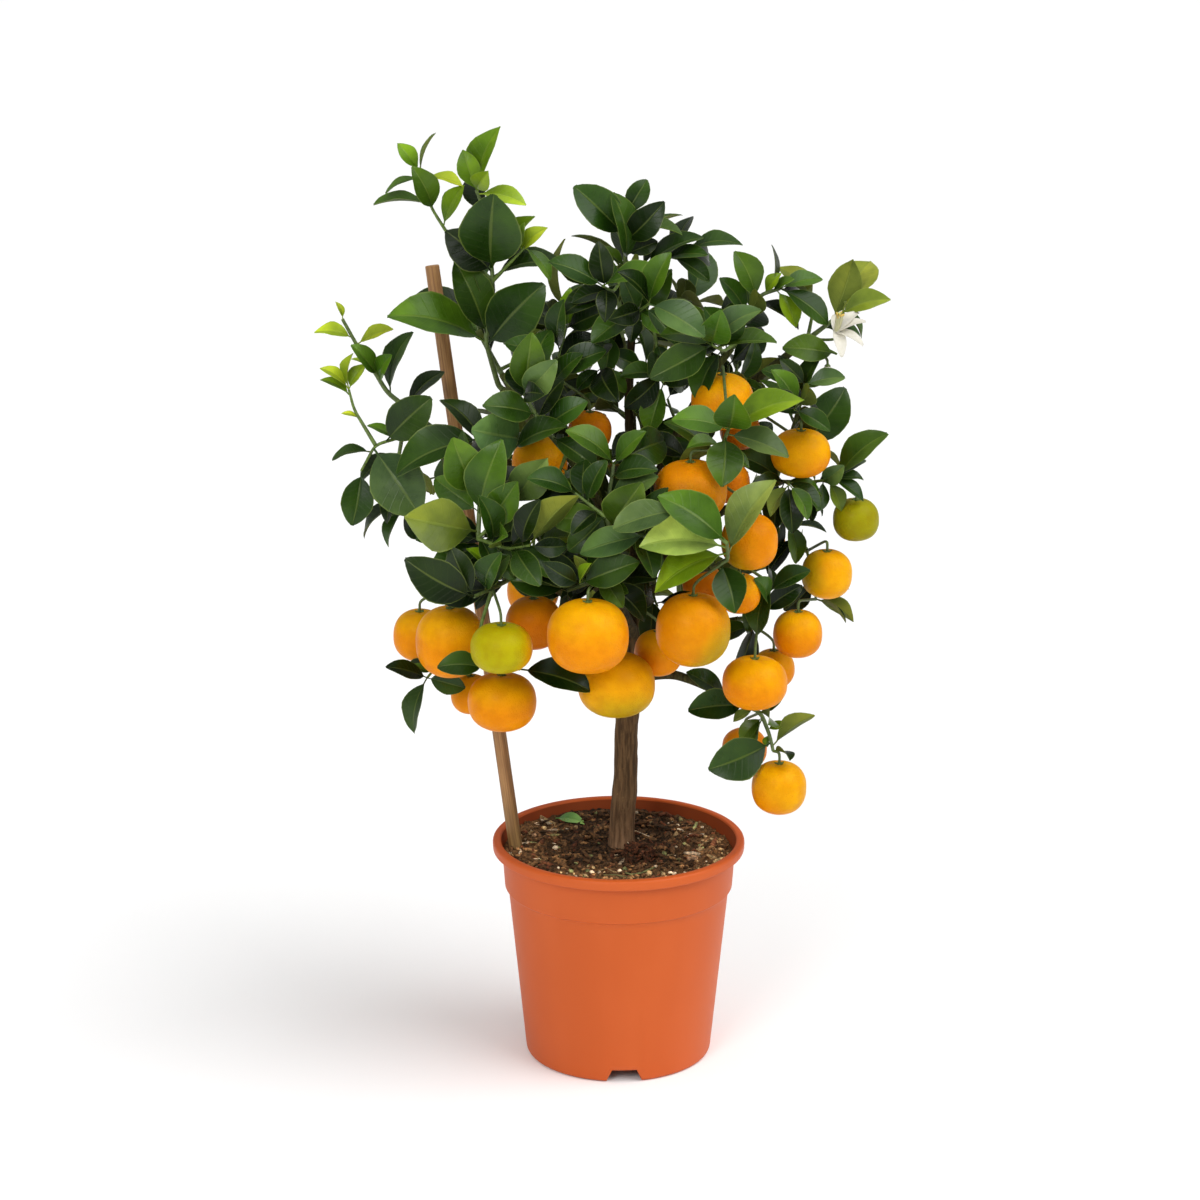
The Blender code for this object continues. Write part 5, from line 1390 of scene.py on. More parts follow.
def set_by_rule(name, route, share, number, lengths, crown, draw, colour, keeps_gaps=True):
    """Sets one leaf of a spiral round a twig, if there is room for it."""
    root, onward = along(route, share)
    turn = math.radians(SPIRAL_TURN * number + draw.uniform(-20, 20))
    side = onward.orthogonal().normalized()
    side.rotate(Quaternion(onward, turn))
    length = draw.uniform(*lengths) * MM
    width = length * draw.uniform(0.46, 0.56)
    roll = math.radians(draw.uniform(-25, 25))
    for angle in (55, 70, 40, 85):
        angle = math.radians(angle)
        axis = (onward * math.cos(angle) + side * math.sin(angle)).normalized()
        outward = Vector((root.x, root.y, 0)).normalized()
        normal = outward * 0.8 + Vector((0, -0.5, 0.8))
        normal.rotate(Quaternion(axis, roll))
        leaf = Leaf(root, axis, normal, length, width, name, colour)
        if hides_fruit(leaf) or keeps_gaps and in_a_gap(leaf):
            continue
        if crown.is_clear(leaf):
            crown.add_leaf(leaf)
            return


def rule_colour(number):
    """A colour for a leaf that a rule sets: mostly dark green and near-black painted shade, now and
    then lighter, once in ten a grey-green painted sheen.
    """
    return (DARK, PAINTED_SHADE_GREEN, PAINTED_SHADE_GREEN, DARK, PAINTED_SHADE_GREEN, MID, DARK, PAINTED_SHADE_GREEN, DARK, PAINTED_SHEEN_GREY_GREEN)[number % 10]


def plain_tube(points, radii):
    """A four-sided tube through points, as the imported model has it, for finding crossings."""
    curve = bpy.data.curves.new("guide", "CURVE")
    curve.dimensions = "3D"
    curve.bevel_depth = MM
    curve.bevel_resolution = 0
    curve.use_fill_caps = True
    spline = curve.splines.new("POLY")
    spline.points.add(len(points) - 1)
    for spot, point, radius in zip(spline.points, points, radii):
        spot.co = (*point, 1)
        spot.radius = radius
    guide = add_object("guide", curve)
    depsgraph = bpy.context.evaluated_depsgraph_get()
    depsgraph.update()
    mesh = bpy.data.meshes.new_from_object(guide.evaluated_get(depsgraph))
    bpy.data.objects.remove(guide)
    return add_object("guide_tube", mesh)


def stalk_route(fruit, routes):
    """A fruit stalk from its twig, over the fruit, down into the dimple on its top."""
    centre, _, upright, _, start = fruit
    top = place(centre) + Vector((0, 0, upright * MM - DIMPLE + GAP))
    return [listed_point(routes, start), top + Vector((0, 0, STALK_RISE)), top]


def flower_stalks(start):
    """Routes of the stalks that carry the blossom and its buds."""
    back = -Vector(FLOWER_FACES).normalized()
    behind = place(FLOWER_AT) + back * (2 * MM + GAP)
    routes = [[start, behind + back * 4 * MM, behind]]
    for spot, _, upright in BUDS:
        top = place(spot) + Vector((0, 0, upright * MM + GAP))
        routes.append([start, top + Vector((0, 2 * MM, 3 * MM)), top])
    return routes


def add_guide(crown, name, route, radii):
    """Takes the plain tube of a stem, twig or stalk into the crown."""
    guide = plain_tube(route, radii)
    crown.add_wood(guide, name)
    bpy.data.objects.remove(guide)


crown = Crown()
for name in ("trunk", "stake", "flower", "flower_bud_1", "flower_bud_2"):
    crown.add_wood(nodes[name], name)
stem_routes = {}
stalk_routes = {}
for name in STEMS:
    routes = routes_of(name)
    stem_routes[name] = routes
    stalk_routes[name] = [stalk_route(fruit, routes) for fruit in FRUIT if fruit[3] == name]
    if name == "blossom_stem":
        stalk_routes[name] += flower_stalks(routes[0][1])
    for number, route in enumerate(routes):
        radii = spread(route, *(TWIG_RADII if number else STEM_RADII))
        add_guide(crown, name, route, [radius / MM for radius in radii])
    for route in stalk_routes[name]:
        add_guide(crown, name, route, [STALK_RADIUS] * len(route))
for name, (_, lists) in STEMS.items():
    for (_, _, leaves, _), route in zip(lists, stem_routes[name]):
        for leaf in leaves:
            set_listed(name, route, leaf, crown)
for name, (_, lists) in STEMS.items():
    draw = random.Random(SEED + len(name))
    for (_, _, _, count), route in zip(lists, stem_routes[name]):
        for number in range(count):
            share = 1 - 0.8 * number / max(count, 4)
            set_by_rule(name, route, share, number, RULE_LENGTHS, crown, draw,
                        rule_colour(number), False)
for name, leaves in SMALL_LEAVES.items():
    for row, *leaf in leaves:
        set_listed(name, stem_routes[name][row], leaf, crown)
filler_draw = random.Random(SEED)
for name, routes in stem_routes.items():
    for row, route in enumerate(routes):
        if (name, row) in YOUNG_SHOOTS:
            continue
        for number in range(FILLERS):
            share = 1 - 0.85 * number / FILLERS
            set_by_rule(name, route, share, number + 2, FILLER_LENGTHS, crown, filler_draw,
                        rule_colour(number + 1))

# Short inner shoots on the limbs, which fill the shade inside the crown; most of their leaves take the
# near-black painted shade or the dark green
SHOOT_SPACING = 26 * MM
SHOOT_LENGTHS = (14, 26)
SHOOT_RADII = (1.2, 0.8)
SHOOT_LEAVES = 4
SHOOT_LEAF_LENGTHS = (26, 40)
CORE_MIDDLE = Vector((8, 5, 425)) * MM
CORE_REACH = Vector((88, 80, 125)) * MM


def in_core(point):
    """Whether a point is in the crown's dense middle."""
    off = point - CORE_MIDDLE
    return sum((part / reach) ** 2 for part, reach in zip(off, CORE_REACH)) < 1


inner_twigs = []
shoot_draw = random.Random(SEED + 1)
limb_routes = [[place(point) for point in limb] for limb in LIMBS.values()]
limb_routes.append([place(point) for point, _ in TRUNK[6:]])
for route in limb_routes:
    count = max(2, round(length_of(route) / SHOOT_SPACING))
    for number in range(count):
        root, onward = along(route, (number + 0.7) / count)
        side = onward.orthogonal().normalized()
        side.rotate(Quaternion(onward, shoot_draw.uniform(0, math.tau)))
        way = (onward * 0.4 + side + Vector((0, 0, 0.5))).normalized()
        tip = root + way * shoot_draw.uniform(*SHOOT_LENGTHS) * MM
        if not in_core(tip) or inside_fruit(tip, 4 * MM):
            continue
        before = len(crown.leaves)
        twig = [root, root.lerp(tip, 0.5) + side * 1.5 * MM, tip]
        for leaf_number in range(SHOOT_LEAVES):
            set_by_rule("inner_shoots", twig, 1 - 0.2 * leaf_number, leaf_number,
                        SHOOT_LEAF_LENGTHS, crown, shoot_draw, rule_colour(leaf_number + number))
        if len(crown.leaves) > before:
            inner_twigs.append(twig)

# The rows and columns of a leaf's fine blade
ROWS = (0, 0.06, 0.115, 0.145, 0.19, 0.26, 0.35, 0.45, 0.55, 0.65, 0.75, 0.84, 0.91, 0.96, 0.99, 1)
COLUMNS = (-1, -0.82, -0.55, -0.27, -0.07, 0, 0.07, 0.27, 0.55, 0.82, 1)
BLADE_THICKNESS = 0.34 * MM
PETIOLE_THICKNESS = 1.0 * MM
PALE_FROM = 0.13  # the green of the young leaves, which end in a longer point
PALE_POINT = 0.2
WAVE_DEPTH = 0.018  # of the leaf's length, at the most
RUFFLE = 0.018  # of the leaf's width
RUFFLES = 7
GROOVE = 0.25 * MM
# The least and the most of each way in which a leaf departs from the plain blade
HABITS = {
    "droop": (0.03, 0.15),  # of its tip, as a share of its length
    "bend": (-0.035, 0.035),  # sideways
    "fold": (1.1, 2.0),  # along its midrib, as a multiple of the plain blade's
    "skew": (0.92, 1.14),  # below 1 its widest place is nearer its foot
    "fullness": (0.60, 0.72),  # the less, the blunter its ends
    "wave": (0.2, 1.0),
    "phase": (0, math.tau),
    "turns": (1.4, 2.6),  # how many waves it has
    "twist": (-0.22, 0.22),
    "belly": (-0.12, 0.12),  # how hollow its halves are
    "light": (0.8, 1.2),  # of its colour
    "warm": (-0.12, 0.12),
}


class Habit:
    """How one leaf departs from the plain blade: its curl, waves, bend and twist."""

    def __init__(self, draw, leaf):
        for quality, (least, most) in HABITS.items():
            setattr(self, quality, draw.uniform(least, most))
        if leaf.colour[1] > PALE_FROM:
            self.fullness += PALE_POINT

    def outline(self, share):
        """Half of the fine blade's width at a share of its length, as a part of its widest."""
        reach = max(0.0, (share - PETIOLE) / (1 - PETIOLE))
        return max(0.035, math.sin(math.pi * reach ** self.skew)) ** self.fullness

    def point(self, leaf, share, side, lift):
        """A point of the fine blade."""
        shape = self.outline(share) if share > PETIOLE else PETIOLE_WIDTH
        ruffle = 1 + RUFFLE * math.sin(math.tau * RUFFLES * share + self.phase) * (share > PETIOLE)
        half = leaf.width / 2 * shape * ruffle
        blade = max(0.0, (share - PETIOLE) / (1 - PETIOLE))
        arch = LEAF_ARCH * leaf.length * 4 * share * (1 - share)
        fold = self.fold * LEAF_FOLD * half * (0.8 * abs(side) + 0.2 * side * side)
        groove = -GROOVE * math.exp(-(side / 0.05) ** 2) * (share > PETIOLE) * (1 - share)
        belly = -self.belly * half * side * side * blade
        wave = (self.wave * WAVE_DEPTH * leaf.length * side * side * blade
                * math.sin(math.tau * self.turns * share + self.phase + (1.5 if side > 0 else 0)))
        droop = -self.droop * leaf.length * blade ** 3
        twist = self.twist * half * side * blade
        bend = self.bend * leaf.length * 4 * share * (1 - share)
        rise = arch + fold + groove + belly + wave + droop + twist + lift
        return (leaf.root + leaf.axis * leaf.length * share
                + leaf.across * (half * side + bend) + leaf.normal * rise)


def sheet_faces(rows, across):
    """Faces of a thin closed sheet, its corners in rows, upper side first, and their finishes."""
    faces, finishes = [], []
    layer = rows * across
    for near in range(0, layer - across, across):
        for a in range(near, near + across - 1):
            b, c, d = a + 1, a + across + 1, a + across
            faces += [(a, d, c, b), (layer + a, layer + b, layer + c, layer + d)]
            finishes += [0, 1]
        far = near + across
        faces.append((near, layer + near, layer + far, far))
        faces.append((far - 1, far + across - 1, layer + far + across - 1, layer + far - 1))
        finishes += [0, 0]
    for column in range(across - 1):
        last = layer - across + column
        faces.append((column, column + 1, layer + column + 1, layer + column))
        faces.append((last, layer + last, layer + last + 1, last + 1))
        finishes += [0, 0]
    return faces, finishes


def fine_blade(growth, leaf, draw):
    """Adds a leaf as a thin closed blade, upper side and underside in their own finishes."""
    habit = Habit(draw, leaf)
    corners, places = [], []
    for way in (1, -1):
        for share in ROWS:
            thick = BLADE_THICKNESS if share > PETIOLE else PETIOLE_THICKNESS
            for side in COLUMNS:
                thin = thick / 2 * (1 - 0.45 * side * side)
                corners.append(habit.point(leaf, share, side, way * thin))
                places.append((share, (side + 1) / 2))
    faces, finishes = sheet_faces(len(ROWS), len(COLUMNS))
    red, green, blue = (part * habit.light for part in leaf.colour)
    growth.add(corners, faces, (red * (1 + habit.warm), green, blue), finishes, places)


def veins_of(tree, share, spot):
    """The midrib, the side veins and the margin of a leaf, as three sockets; the margin takes a
    painted highlight.
    """
    offset = math_of(tree, "SUBTRACT", math_of(tree, "MULTIPLY", spot, 2.0), 1.0)
    side = math_of(tree, "ABSOLUTE", offset)
    slant = math_of(tree, "SUBTRACT", math_of(tree, "MULTIPLY", share, 10.0),
                    math_of(tree, "MULTIPLY", side, 1.7))
    rib = steps(tree, math_of(tree, "PINGPONG", slant, 0.5), 0.07, 0.0)
    return steps(tree, side, 0.075, 0.02), rib, steps(tree, side, 0.93, 0.99)


def leaf_finish(name, is_upper):
    """A leaf's skin: glossy and veined above, lighter and duller below, with painted light and shade:
    darker at its foot, lighter at its tip, one half darker, and a light painted highlight along its
    edge.
    """
    material, tree, shader = new_material(name, DARK if is_upper else UNDERSIDE, 0.36)
    where = add_node(tree, "ShaderNodeUVMap", {"uv_map": "UVMap"}).outputs["UV"]
    parts = add_node(tree, "ShaderNodeSeparateXYZ", Vector=where)
    share, spot = parts.outputs["X"], parts.outputs["Y"]
    midrib, rib, margin = veins_of(tree, share, spot)
    own = tone_of(tree)
    if not is_upper:
        own = blend_colour(tree, 0.55, own, UNDERSIDE)
    clouds = grain(tree, place_of(tree), 45, 3)
    colour = tinted(tree, own, clouds, (0.34, 0.66), (0.74, 0.78, 0.74), (1.24, 1.2, 1.12))
    # Painted light and shade: darker at the leaf's foot and lighter at its tip, and one half darker
    # than the other, as on an arched leaf folded along its midrib
    colour = tinted(tree, colour, share, (0.1, 0.9), (0.64, 0.68, 0.72), (1.28, 1.22, 1.14))
    colour = tinted(tree, colour, spot, (0.44, 0.56), (0.8, 0.84, 0.88), (1.2, 1.16, 1.1))
    # The midrib and side veins are lighter in colour; the light line along the edge is a painted
    # highlight
    pale_veins_and_edge_highlight = blend_colour(tree, 0.45, own, VEIN_AND_EDGE_HIGHLIGHT)
    for line, strength in ((rib, 0.05), (midrib, 0.42), (margin, 0.7)):
        colour = blend_colour(tree, math_of(tree, "MULTIPLY", line, strength), colour, pale_veins_and_edge_highlight)
    tree.links.new(colour, shader.inputs["Base Color"])
    fine = grain(tree, place_of(tree), 900, 2)
    rough = math_of(tree, "ADD", math_of(tree, "MULTIPLY", clouds, 0.14), 0.22 if is_upper else 0.5)
    tree.links.new(rough, shader.inputs["Roughness"])
    height = math_of(tree, "SUBTRACT", math_of(tree, "MULTIPLY", fine, 0.25),
                     math_of(tree, "ADD", math_of(tree, "MULTIPLY", rib, 0.25), midrib))
    roughen(tree, shader, height, 0.00022 if is_upper else 0.0004)
    shader.inputs["Specular IOR Level"].default_value = 0.2 if is_upper else 0.06
    return material


def twig_finish():
    """Green young wood, mottled and a little waxy."""
    material, tree, shader = new_material("green_twig", YOUNG_GREEN, 0.55)
    streaks = grain(tree, place_of(tree), 350, 3)
    colour = tinted(tree, tone_of(tree), streaks, (0.3, 0.7), (0.7, 0.7, 0.65), (1.3, 1.25, 1.2))
    tree.links.new(colour, shader.inputs["Base Color"])
    roughen(tree, shader, streaks, 0.0003)
    return material


leaf_upper = leaf_finish("leaf_upper", True)
leaf_under = leaf_finish("leaf_under", False)
twig_green = twig_finish()
leaf_skins = [leaf_upper, leaf_under, twig_green]
TWIG_SKIN = 2  # its place among the skins
TWIG_SIDES = 9
STALK_SIDES = 8
habit_draw = random.Random(SEED + 2)
for name, routes in stem_routes.items():
    growth = Growth()
    for number, route in enumerate(routes):
        curve = refined(eased(route, 5 * MM), 4 * MM)
        radii = spread(curve, *(TWIG_RADII if number else STEM_RADII))
        tone = mixed(YOUNG_GREEN, BRIGHT, 0.35 if number else 0.0)
        sleeve(growth, curve, radii, TWIG_SIDES, tone, TWIG_SKIN)
    for route in stalk_routes[name]:
        curve = eased(route, 8 * MM)
        thick = spread(curve, 0.95 * STALK_RADIUS, 0.8 * STALK_RADIUS)
        sleeve(growth, curve, thick, STALK_SIDES, YOUNG_GREEN, TWIG_SKIN)
    for leaf, _ in crown.leaves:
        if leaf.group == name:
            fine_blade(growth, leaf, habit_draw)
    piece = growth.made("stem_" + name, leaf_skins, 50)
    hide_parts("leafy_stem_" + name)
    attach(piece, "root")

growth = Growth()
for twig in inner_twigs:
    curve = eased(twig, 4 * MM)
    radii = spread(curve, *SHOOT_RADII)
    sleeve(growth, curve, radii, STALK_SIDES, YOUNG_GREEN, TWIG_SKIN)
for leaf, _ in crown.leaves:
    if leaf.group == "inner_shoots":
        fine_blade(growth, leaf, habit_draw)
inner_shoots = growth.made("inner_shoots", leaf_skins, 50)
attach(inner_shoots, "root")


# The calamondins, small thin-skinned oranges: flattened globes, some still greenish, with
# fine oil pores in the peel, a green star of sepals round the stalk and a scar below.

ORANGE = (0.74, 0.242, 0.0005)
PAINTED_SHADE_ORANGE = (0.60, 0.165, 0.001)
AMBER = (0.77, 0.345, 0.001)
HONEY = (0.66, 0.235, 0.001)
GOLDEN_OLIVE = (0.44, 0.27, 0.003)
LIME = (0.40, 0.34, 0.002)
PAINTED_SHADOW_ORANGE = (0.54, 0.19, 0.002)
GREEN_OLIVE = (0.29, 0.26, 0.003)
SEPAL_GREEN = (0.11, 0.17, 0.035)
SCAR = (0.20, 0.10, 0.03)
SQUARENESS = 0.86  # below 1 the globe is fuller at its shoulders
FRUIT_SIDES = 44
FRUIT_RINGS = 30
SEPAL_REACH = 3.3 * MM
SEPAL_POINTS = 20
SEPAL_FACES = (0.55 * MM, -0.1 * MM)  # how high their upper and lower faces lie
CREASES = 5  # that run into the dimple
CREASE_DEPTH = 0.25
LUMPINESS = 0.3
SCAR_DEPTH = 0.5
# Fruits that aren't plain orange: their colour, a second one, and where that lies. The fruits in shade
# are a darker orange under an orange top, as painted shade, and fruit 12 darker still, as painted
# shadow of the leaves over it.
SHADED_FRUIT = (10, 13, 14, 23, 25, 27)
RIPENESS_AND_PAINTED_LIGHT = dict.fromkeys(SHADED_FRUIT, (PAINTED_SHADE_ORANGE, ORANGE, (0, 0, 1))) | {
    # Fruit 2's amber is partly its own colour and partly painted light, over the shade of the leaves
    # on it
    2: (AMBER, ORANGE, (0.5, 0, -0.7)),
    3: (GREEN_OLIVE, GREEN_OLIVE, (0.6, -0.2, -0.6)),
    4: (AMBER, GOLDEN_OLIVE, (-1, -0.2, 0.1)),
    8: (HONEY, GOLDEN_OLIVE, (0.9, 0, -0.6)),
    11: (ORANGE, GOLDEN_OLIVE, (-0.8, 0, -0.5)),
    12: (PAINTED_SHADOW_ORANGE, ORANGE, (0, 0, 1)),
    16: (AMBER, GOLDEN_OLIVE, (0.1, -0.3, -0.9)),
    20: (LIME, AMBER, (1, 0.5, -0.1)),
    24: (AMBER, ORANGE, (-0.5, 0, -0.5)),
}
# Plain fruits turn amber towards the top: painted light, where the light falls on them
ORANGE_WITH_PAINTED_LIGHT_TOP = (ORANGE, AMBER, (0.1, -0.3, 1))


def globe_point(ring, side, across, upright, seed):
    """A point of a fruit's skin, from its middle."""
    tilt = math.pi * ring / FRUIT_RINGS
    turn = math.tau * side / FRUIT_SIDES
    out = math.sin(tilt) ** SQUARENESS
    rise = math.copysign(abs(math.cos(tilt)) ** SQUARENESS, math.cos(tilt))
    point = Vector((math.cos(turn) * out * across, math.sin(turn) * out * across, rise * upright))
    crease = CREASE_DEPTH * math.cos(CREASES * turn + seed) * math.exp(-((out - 0.22) / 0.16) ** 2)
    if rise > 0:
        point.z -= (DIMPLE / MM) * math.exp(-(out / 0.24) ** 2) + crease
    else:
        point.z += SCAR_DEPTH * math.exp(-(out / 0.12) ** 2)
    lumps = LUMPINESS * noise.noise(point * 0.07 + Vector((seed, 0, 0)))
    return (point + point.normalized() * lumps) * MM


def skin_colour(point, across, ripe):
    """The peel's colour at a point from the fruit's middle."""
    main, second, way = ripe
    share = point.dot(Vector(way).normalized()) / (across * MM) + 0.18 * noise.noise(point * 60)
    share = clamped((share - 0.1) / 0.75)
    return mixed(main, second, share * share * (3 - 2 * share))


def sepals(growth, centre, upright, turn):
    """The green star of five sepals in the dimple."""
    top = centre.z + upright * MM - DIMPLE
    corners = []
    for lift in SEPAL_FACES:
        corners.append(Vector((centre.x, centre.y, top + lift + 0.3 * MM)))
        for point, angle in enumerate(around(SEPAL_POINTS)):
            lobe = 0.5 + 0.5 * math.cos(math.tau * point / 4)
            reach = SEPAL_REACH * (0.5 + 0.5 * lobe)
            slope = 0.9 * MM * (reach / SEPAL_REACH) ** 2
            corners.append(Vector((centre.x + reach * math.cos(angle + turn),
                                   centre.y + reach * math.sin(angle + turn), top + lift + slope)))
    faces = []
    under = SEPAL_POINTS + 1
    for point in range(1, under):
        after = point % SEPAL_POINTS + 1
        faces += [(0, point, after), (under, under + after, under + point),
                  (point, under + point, under + after, after)]
    growth.add(corners, faces, SEPAL_GREEN, 1)


def fruit_skin():
    """Peel: a satin skin with oil pores a millimetre apart, mottled very lightly."""
    material, tree, shader = new_material("calamondin_skin", ORANGE, 0.38)
    where = place_of(tree)
    clouds = grain(tree, where, 110, 3)
    colour = tinted(tree, tone_of(tree), clouds, (0.3, 0.7), (0.93, 0.88, 0.85), (1.05, 1.08, 1.1))
    tree.links.new(colour, shader.inputs["Base Color"])
    pores = add_node(tree, "ShaderNodeTexVoronoi", Vector=where, Scale=900.0)
    pits = steps(tree, pores.outputs["Distance"], 0.05, 0.5)
    height = math_of(tree, "ADD", pits, grain(tree, where, 700, 2))
    roughen(tree, shader, height, 0.00016)
    shader.inputs["Specular IOR Level"].default_value = 0.07
    shader.inputs["Subsurface Weight"].default_value = 0.12
    shader.inputs["Subsurface Radius"].default_value = (1, 0.35, 0.05)
    shader.inputs["Subsurface Scale"].default_value = 0.003
    return material


calamondin_skin = fruit_skin()
for number, (centre, across, upright, *_) in enumerate(FRUIT, 1):
    growth = Growth()
    ripe = RIPENESS_AND_PAINTED_LIGHT.get(number, ORANGE_WITH_PAINTED_LIGHT_TOP)
    middle = place(centre)
    corners = [globe_point(0, 0, across, upright, number)]
    corners += [globe_point(ring, side, across, upright, number)
                for ring in range(1, FRUIT_RINGS) for side in range(FRUIT_SIDES)]
    corners.append(globe_point(FRUIT_RINGS, 0, across, upright, number))
    colours = [skin_colour(corner, across, ripe) for corner in corners]
    colours[-1] = SCAR
    skin_faces = ringed_faces(FRUIT_RINGS - 1, FRUIT_SIDES)
    growth.add([corner + middle for corner in corners], skin_faces, colours)
    sepals(growth, middle, upright, 0.7 * number)
    fruit = growth.made(f"calamondin_{number:02d}", [calamondin_skin, twig_green], 60)
    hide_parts(f"fruit_{number:02d}")
    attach(fruit, "root")


# The open blossom and its two buds: five thick waxy petals, fading and bent over to one side,
# round an upright bunch of cream stamens tipped with yellow, on a small green cup.

PETAL_TURNS = [(-78, -0.2), (-32, 0.05), (8, 0.65), (42, 0.75), (88, 0.2)]  # and their rise
PETAL_LENGTH = 20 * MM
PETAL_WIDTH = 0.42  # of its length
PETAL_ROWS = 15
PETAL_COLUMNS = 9
PETAL_WHITE = (0.68, 0.65, 0.57)
FILAMENT_WHITE = (0.62, 0.60, 0.36)
ANTHER_YELLOW = (0.62, 0.42, 0.08)
STIGMA_GREEN = (0.50, 0.55, 0.15)
STAMENS = 18
STAMEN_RADII = [0.28 * MM, 0.24 * MM, 0.18 * MM]
STAMEN_CIRCLE = 1.1 * MM
COLUMN_LENGTH = 15 * MM


def egg(growth, centre, across, upright, colour, rings=8, sides=12):
    """A small closed egg shape, upright."""
    corners = [centre + Vector((0, 0, upright))]
    for ring in range(1, rings):
        tilt = math.pi * ring / rings
        corners += [centre + Vector((math.sin(tilt) * math.cos(turn) * across,
                                     math.sin(tilt) * math.sin(turn) * across,
                                     math.cos(tilt) * upright)) for turn in around(sides)]
    corners.append(centre - Vector((0, 0, upright)))
    growth.add(corners, ringed_faces(rings - 1, sides), colour)


def petal(growth, centre, axis, faces_way):
    """One petal: spoon-shaped, thick in the middle and bent back at its tip."""
    leaf = Leaf(centre, axis, faces_way, PETAL_LENGTH, PETAL_LENGTH * PETAL_WIDTH, "flower")
    corners = []
    for way in (1, -1):
        for row in range(PETAL_ROWS):
            share = row / (PETAL_ROWS - 1)
            half = leaf.width / 2 * max(0.18, math.sin(math.pi * (0.12 + 0.83 * share)) ** 0.7)
            rise = 0.1 * leaf.length * share - 0.28 * leaf.length * share ** 3
            for column in range(PETAL_COLUMNS):
                side = 2 * column / (PETAL_COLUMNS - 1) - 1
                cup = 0.35 * half * side * side
                thick = 0.45 * MM * (1 - 0.8 * side * side) * way
                corners.append(centre + leaf.axis * leaf.length * share * 0.97
                               + leaf.across * half * side + leaf.normal * (cup + rise + thick))
    growth.add(corners, sheet_faces(PETAL_ROWS, PETAL_COLUMNS)[0], PETAL_WHITE)


def petal_finish():
    """Waxy white petal, faintly mottled and a little translucent."""
    material, tree, shader = new_material("petal_white", PETAL_WHITE, 0.45)
    clouds = grain(tree, place_of(tree), 300, 3)
    colour = tinted(tree, tone_of(tree), clouds, (0.3, 0.7), (0.93, 0.93, 0.9), (1.0, 1.0, 1.0))
    tree.links.new(colour, shader.inputs["Base Color"])
    roughen(tree, shader, grain(tree, place_of(tree), 900, 2), 0.0002)
    shader.inputs["Subsurface Weight"].default_value = 0.25
    shader.inputs["Subsurface Radius"].default_value = (1, 1, 0.8)
    shader.inputs["Subsurface Scale"].default_value = 0.002
    return material


petal_white = petal_finish()
blossom = Growth()
flower_middle = place(FLOWER_AT)
flower_faces = Vector(FLOWER_FACES).normalized()
for turn, rise in PETAL_TURNS:
    spoke = Vector((math.cos(math.radians(turn)), math.sin(math.radians(turn)), 0))
    spoke = (spoke - flower_faces * spoke.dot(flower_faces)).normalized()
    petal(blossom, flower_middle, (spoke + flower_faces * rise).normalized(), flower_faces)
spoke_start = flower_faces.orthogonal().normalized()
stamen_draw = random.Random(8)
for number in range(STAMENS):
    spoke = spoke_start.copy()
    spoke.rotate(Quaternion(flower_faces, math.tau * number / STAMENS))
    spread_out = stamen_draw.uniform(0.02, 0.16)
    way = (flower_faces + spoke * spread_out).normalized()
    foot = flower_middle + spoke * STAMEN_CIRCLE
    tip = foot + way * COLUMN_LENGTH * stamen_draw.uniform(0.75, 0.92)
    bend = foot.lerp(tip, 0.5) + spoke * 0.3 * MM
    sleeve(blossom, [foot, bend, tip], STAMEN_RADII, 6, FILAMENT_WHITE)
    egg(blossom, tip, 0.5 * MM, 0.85 * MM, ANTHER_YELLOW, 6, 8)
pistil_tip = flower_middle + flower_faces * 0.9 * COLUMN_LENGTH
sleeve(blossom, [flower_middle, pistil_tip], [1.1 * MM, 0.6 * MM], 10, STIGMA_GREEN)
egg(blossom, pistil_tip, 1.1 * MM, 0.9 * MM, STIGMA_GREEN)
back_way = flower_middle - flower_faces * 2 * MM
sleeve(blossom, [back_way, flower_middle + flower_faces * 0.4 * MM], [1.3 * MM, 2.4 * MM], 12,
       SEPAL_GREEN)
flower = blossom.made("blossom", [petal_white], 60)
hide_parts("flower")
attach(flower, "root")
for number, (spot, across, upright) in enumerate(BUDS, 1):
    growth = Growth()
    middle = place(spot)
    egg(growth, middle, across * MM, upright * MM, PETAL_WHITE, 16, 20)
    for corner_number, corner in enumerate(growth.corners):
        angle = math.atan2(corner[1] - spot[1] * MM, corner[0] - spot[0] * MM)
        reach = 0.96 + 0.036 * math.cos(5 * angle)
        growth.corners[corner_number] = tuple(middle + (Vector(corner) - middle) * reach)
    cap = middle + Vector((0, 0, 0.82 * upright)) * MM
    egg(growth, cap, 0.62 * across * MM, 0.24 * upright * MM, SEPAL_GREEN)
    bud = growth.made(f"blossom_bud_{number}", [petal_white], 60)
    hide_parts(f"flower_bud_{number}")
    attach(bud, "root")


# A fallen leaf, faded and curled, lying on the soil between the stake and the trunk.

FALLEN_FROM = (-43, 52)
FALLEN_TO = (-23, 45)
FALLEN_LIFT = 3.4 * MM
FADED_GREEN = (0.20, 0.36, 0.10)

growth = Growth()
fallen_ends = []
for spot in (FALLEN_FROM, FALLEN_TO):
    x, y = Vector(spot) * MM
    fallen_ends.append(Vector((x, y, soil_height(x, y) + FALLEN_LIFT)))
fallen_axis = fallen_ends[1] - fallen_ends[0]
fallen = Leaf(fallen_ends[0], fallen_axis.normalized(), Vector((0, -0.35, 1)), fallen_axis.length,
              fallen_axis.length * LEAF_WIDTH, "fallen", FADED_GREEN)
fine_blade(growth, fallen, random.Random(2))
fallen_leaf = growth.made("fallen_leaf_curled", leaf_skins, 50)
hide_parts("fallen_leaf")
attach(fallen_leaf, "root")


# The studio: a plain white floor, an even white surround, and a wide soft key light from the
# upper right that throws a pale shadow to the left.

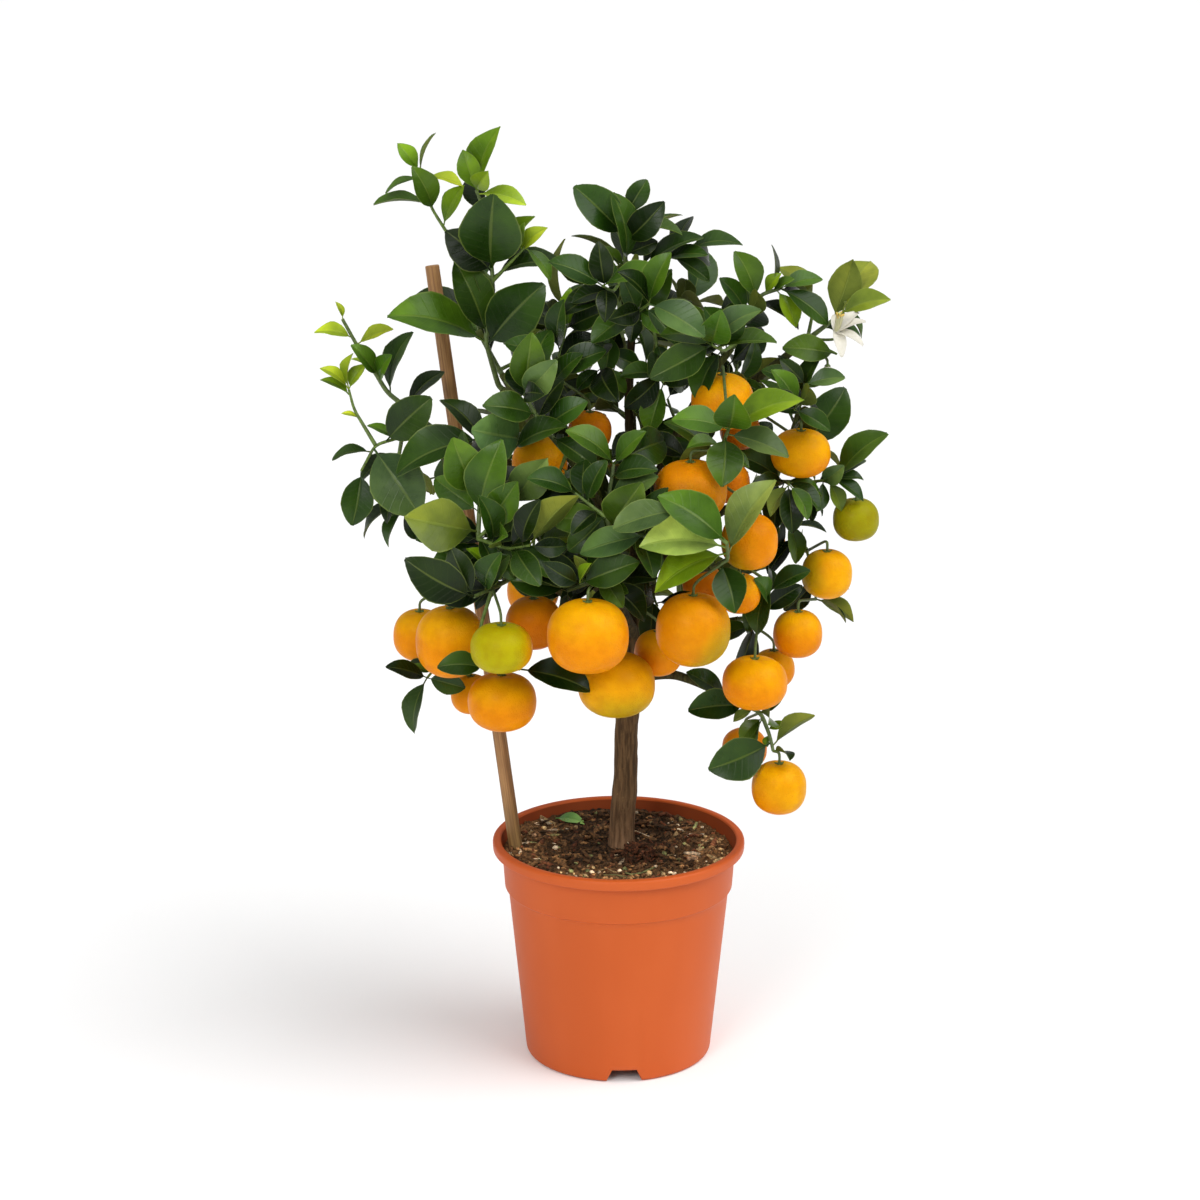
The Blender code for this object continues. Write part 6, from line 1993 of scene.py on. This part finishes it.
FLOOR_REACH = 14
FLOOR_DROP = 0.2 * MM
SURROUND_WHITE = 0.36
KEY_FROM = Vector((0.62, -0.24, 0.72))
KEY_STRENGTH = 2.05
KEY_ANGLE = 55
TOP_FROM = Vector((-0.1, -0.25, 1))
TOP_STRENGTH = 0.72
TOP_ANGLE = 110
FRONT_LIGHT_AT = Vector((-0.8, -1.85, 1.45))
FRONT_LIGHT_AIM = Vector((0, 0, 0.3))
FRONT_LIGHT_SIZE = 0.8
FRONT_LIGHT_WATTS = 17
CAMERA_AT = (-0.0125, -2.02, 0.892)
CAMERA_DOWN = 15.9
CAMERA_LENS = 95.7
SENSOR = 36

bm = bmesh.new()
bmesh.ops.create_grid(bm, x_segments=8, y_segments=8, size=FLOOR_REACH)
bmesh.ops.translate(bm, vec=(0, 0, -FLOOR_DROP), verts=bm.verts)
studio_floor = object_of("studio_floor", bm)
studio_floor.data.materials.append(new_material("floor_white", (0.98, 0.98, 0.98), 0.9)[0])
world = bpy.data.worlds.new("surround")
world.use_nodes = True
world.node_tree.nodes["Background"].inputs["Color"].default_value = (1, 1, 1, 1)
world.node_tree.nodes["Background"].inputs["Strength"].default_value = SURROUND_WHITE
bpy.context.scene.world = world


def add_light(name, kind, way, strength, **settings):
    """A lamp that shines from a way, with its strength and settings."""
    lamp = bpy.data.lights.new(name, kind)
    lamp.energy = strength
    for key, value in settings.items():
        setattr(lamp, key, value)
    light = add_object(name, lamp)
    light.rotation_euler = way.to_track_quat("Z", "Y").to_euler()
    return light


add_light("key", "SUN", KEY_FROM, KEY_STRENGTH, angle=math.radians(KEY_ANGLE))
add_light("top", "SUN", TOP_FROM, TOP_STRENGTH, angle=math.radians(TOP_ANGLE))
front_way = FRONT_LIGHT_AT - FRONT_LIGHT_AIM
front_light = add_light("front", "AREA", front_way, FRONT_LIGHT_WATTS, size=FRONT_LIGHT_SIZE)
front_light.location = FRONT_LIGHT_AT

lens = bpy.data.cameras.new("camera")
lens.lens = CAMERA_LENS
lens.sensor_width = SENSOR
camera = add_object("camera", lens)
camera.location = CAMERA_AT
camera.rotation_euler = (math.radians(90 - CAMERA_DOWN), 0, 0)
bpy.context.scene.camera = camera
bpy.context.scene.view_settings.view_transform = "Standard"
bpy.context.scene.view_settings.look = "None"
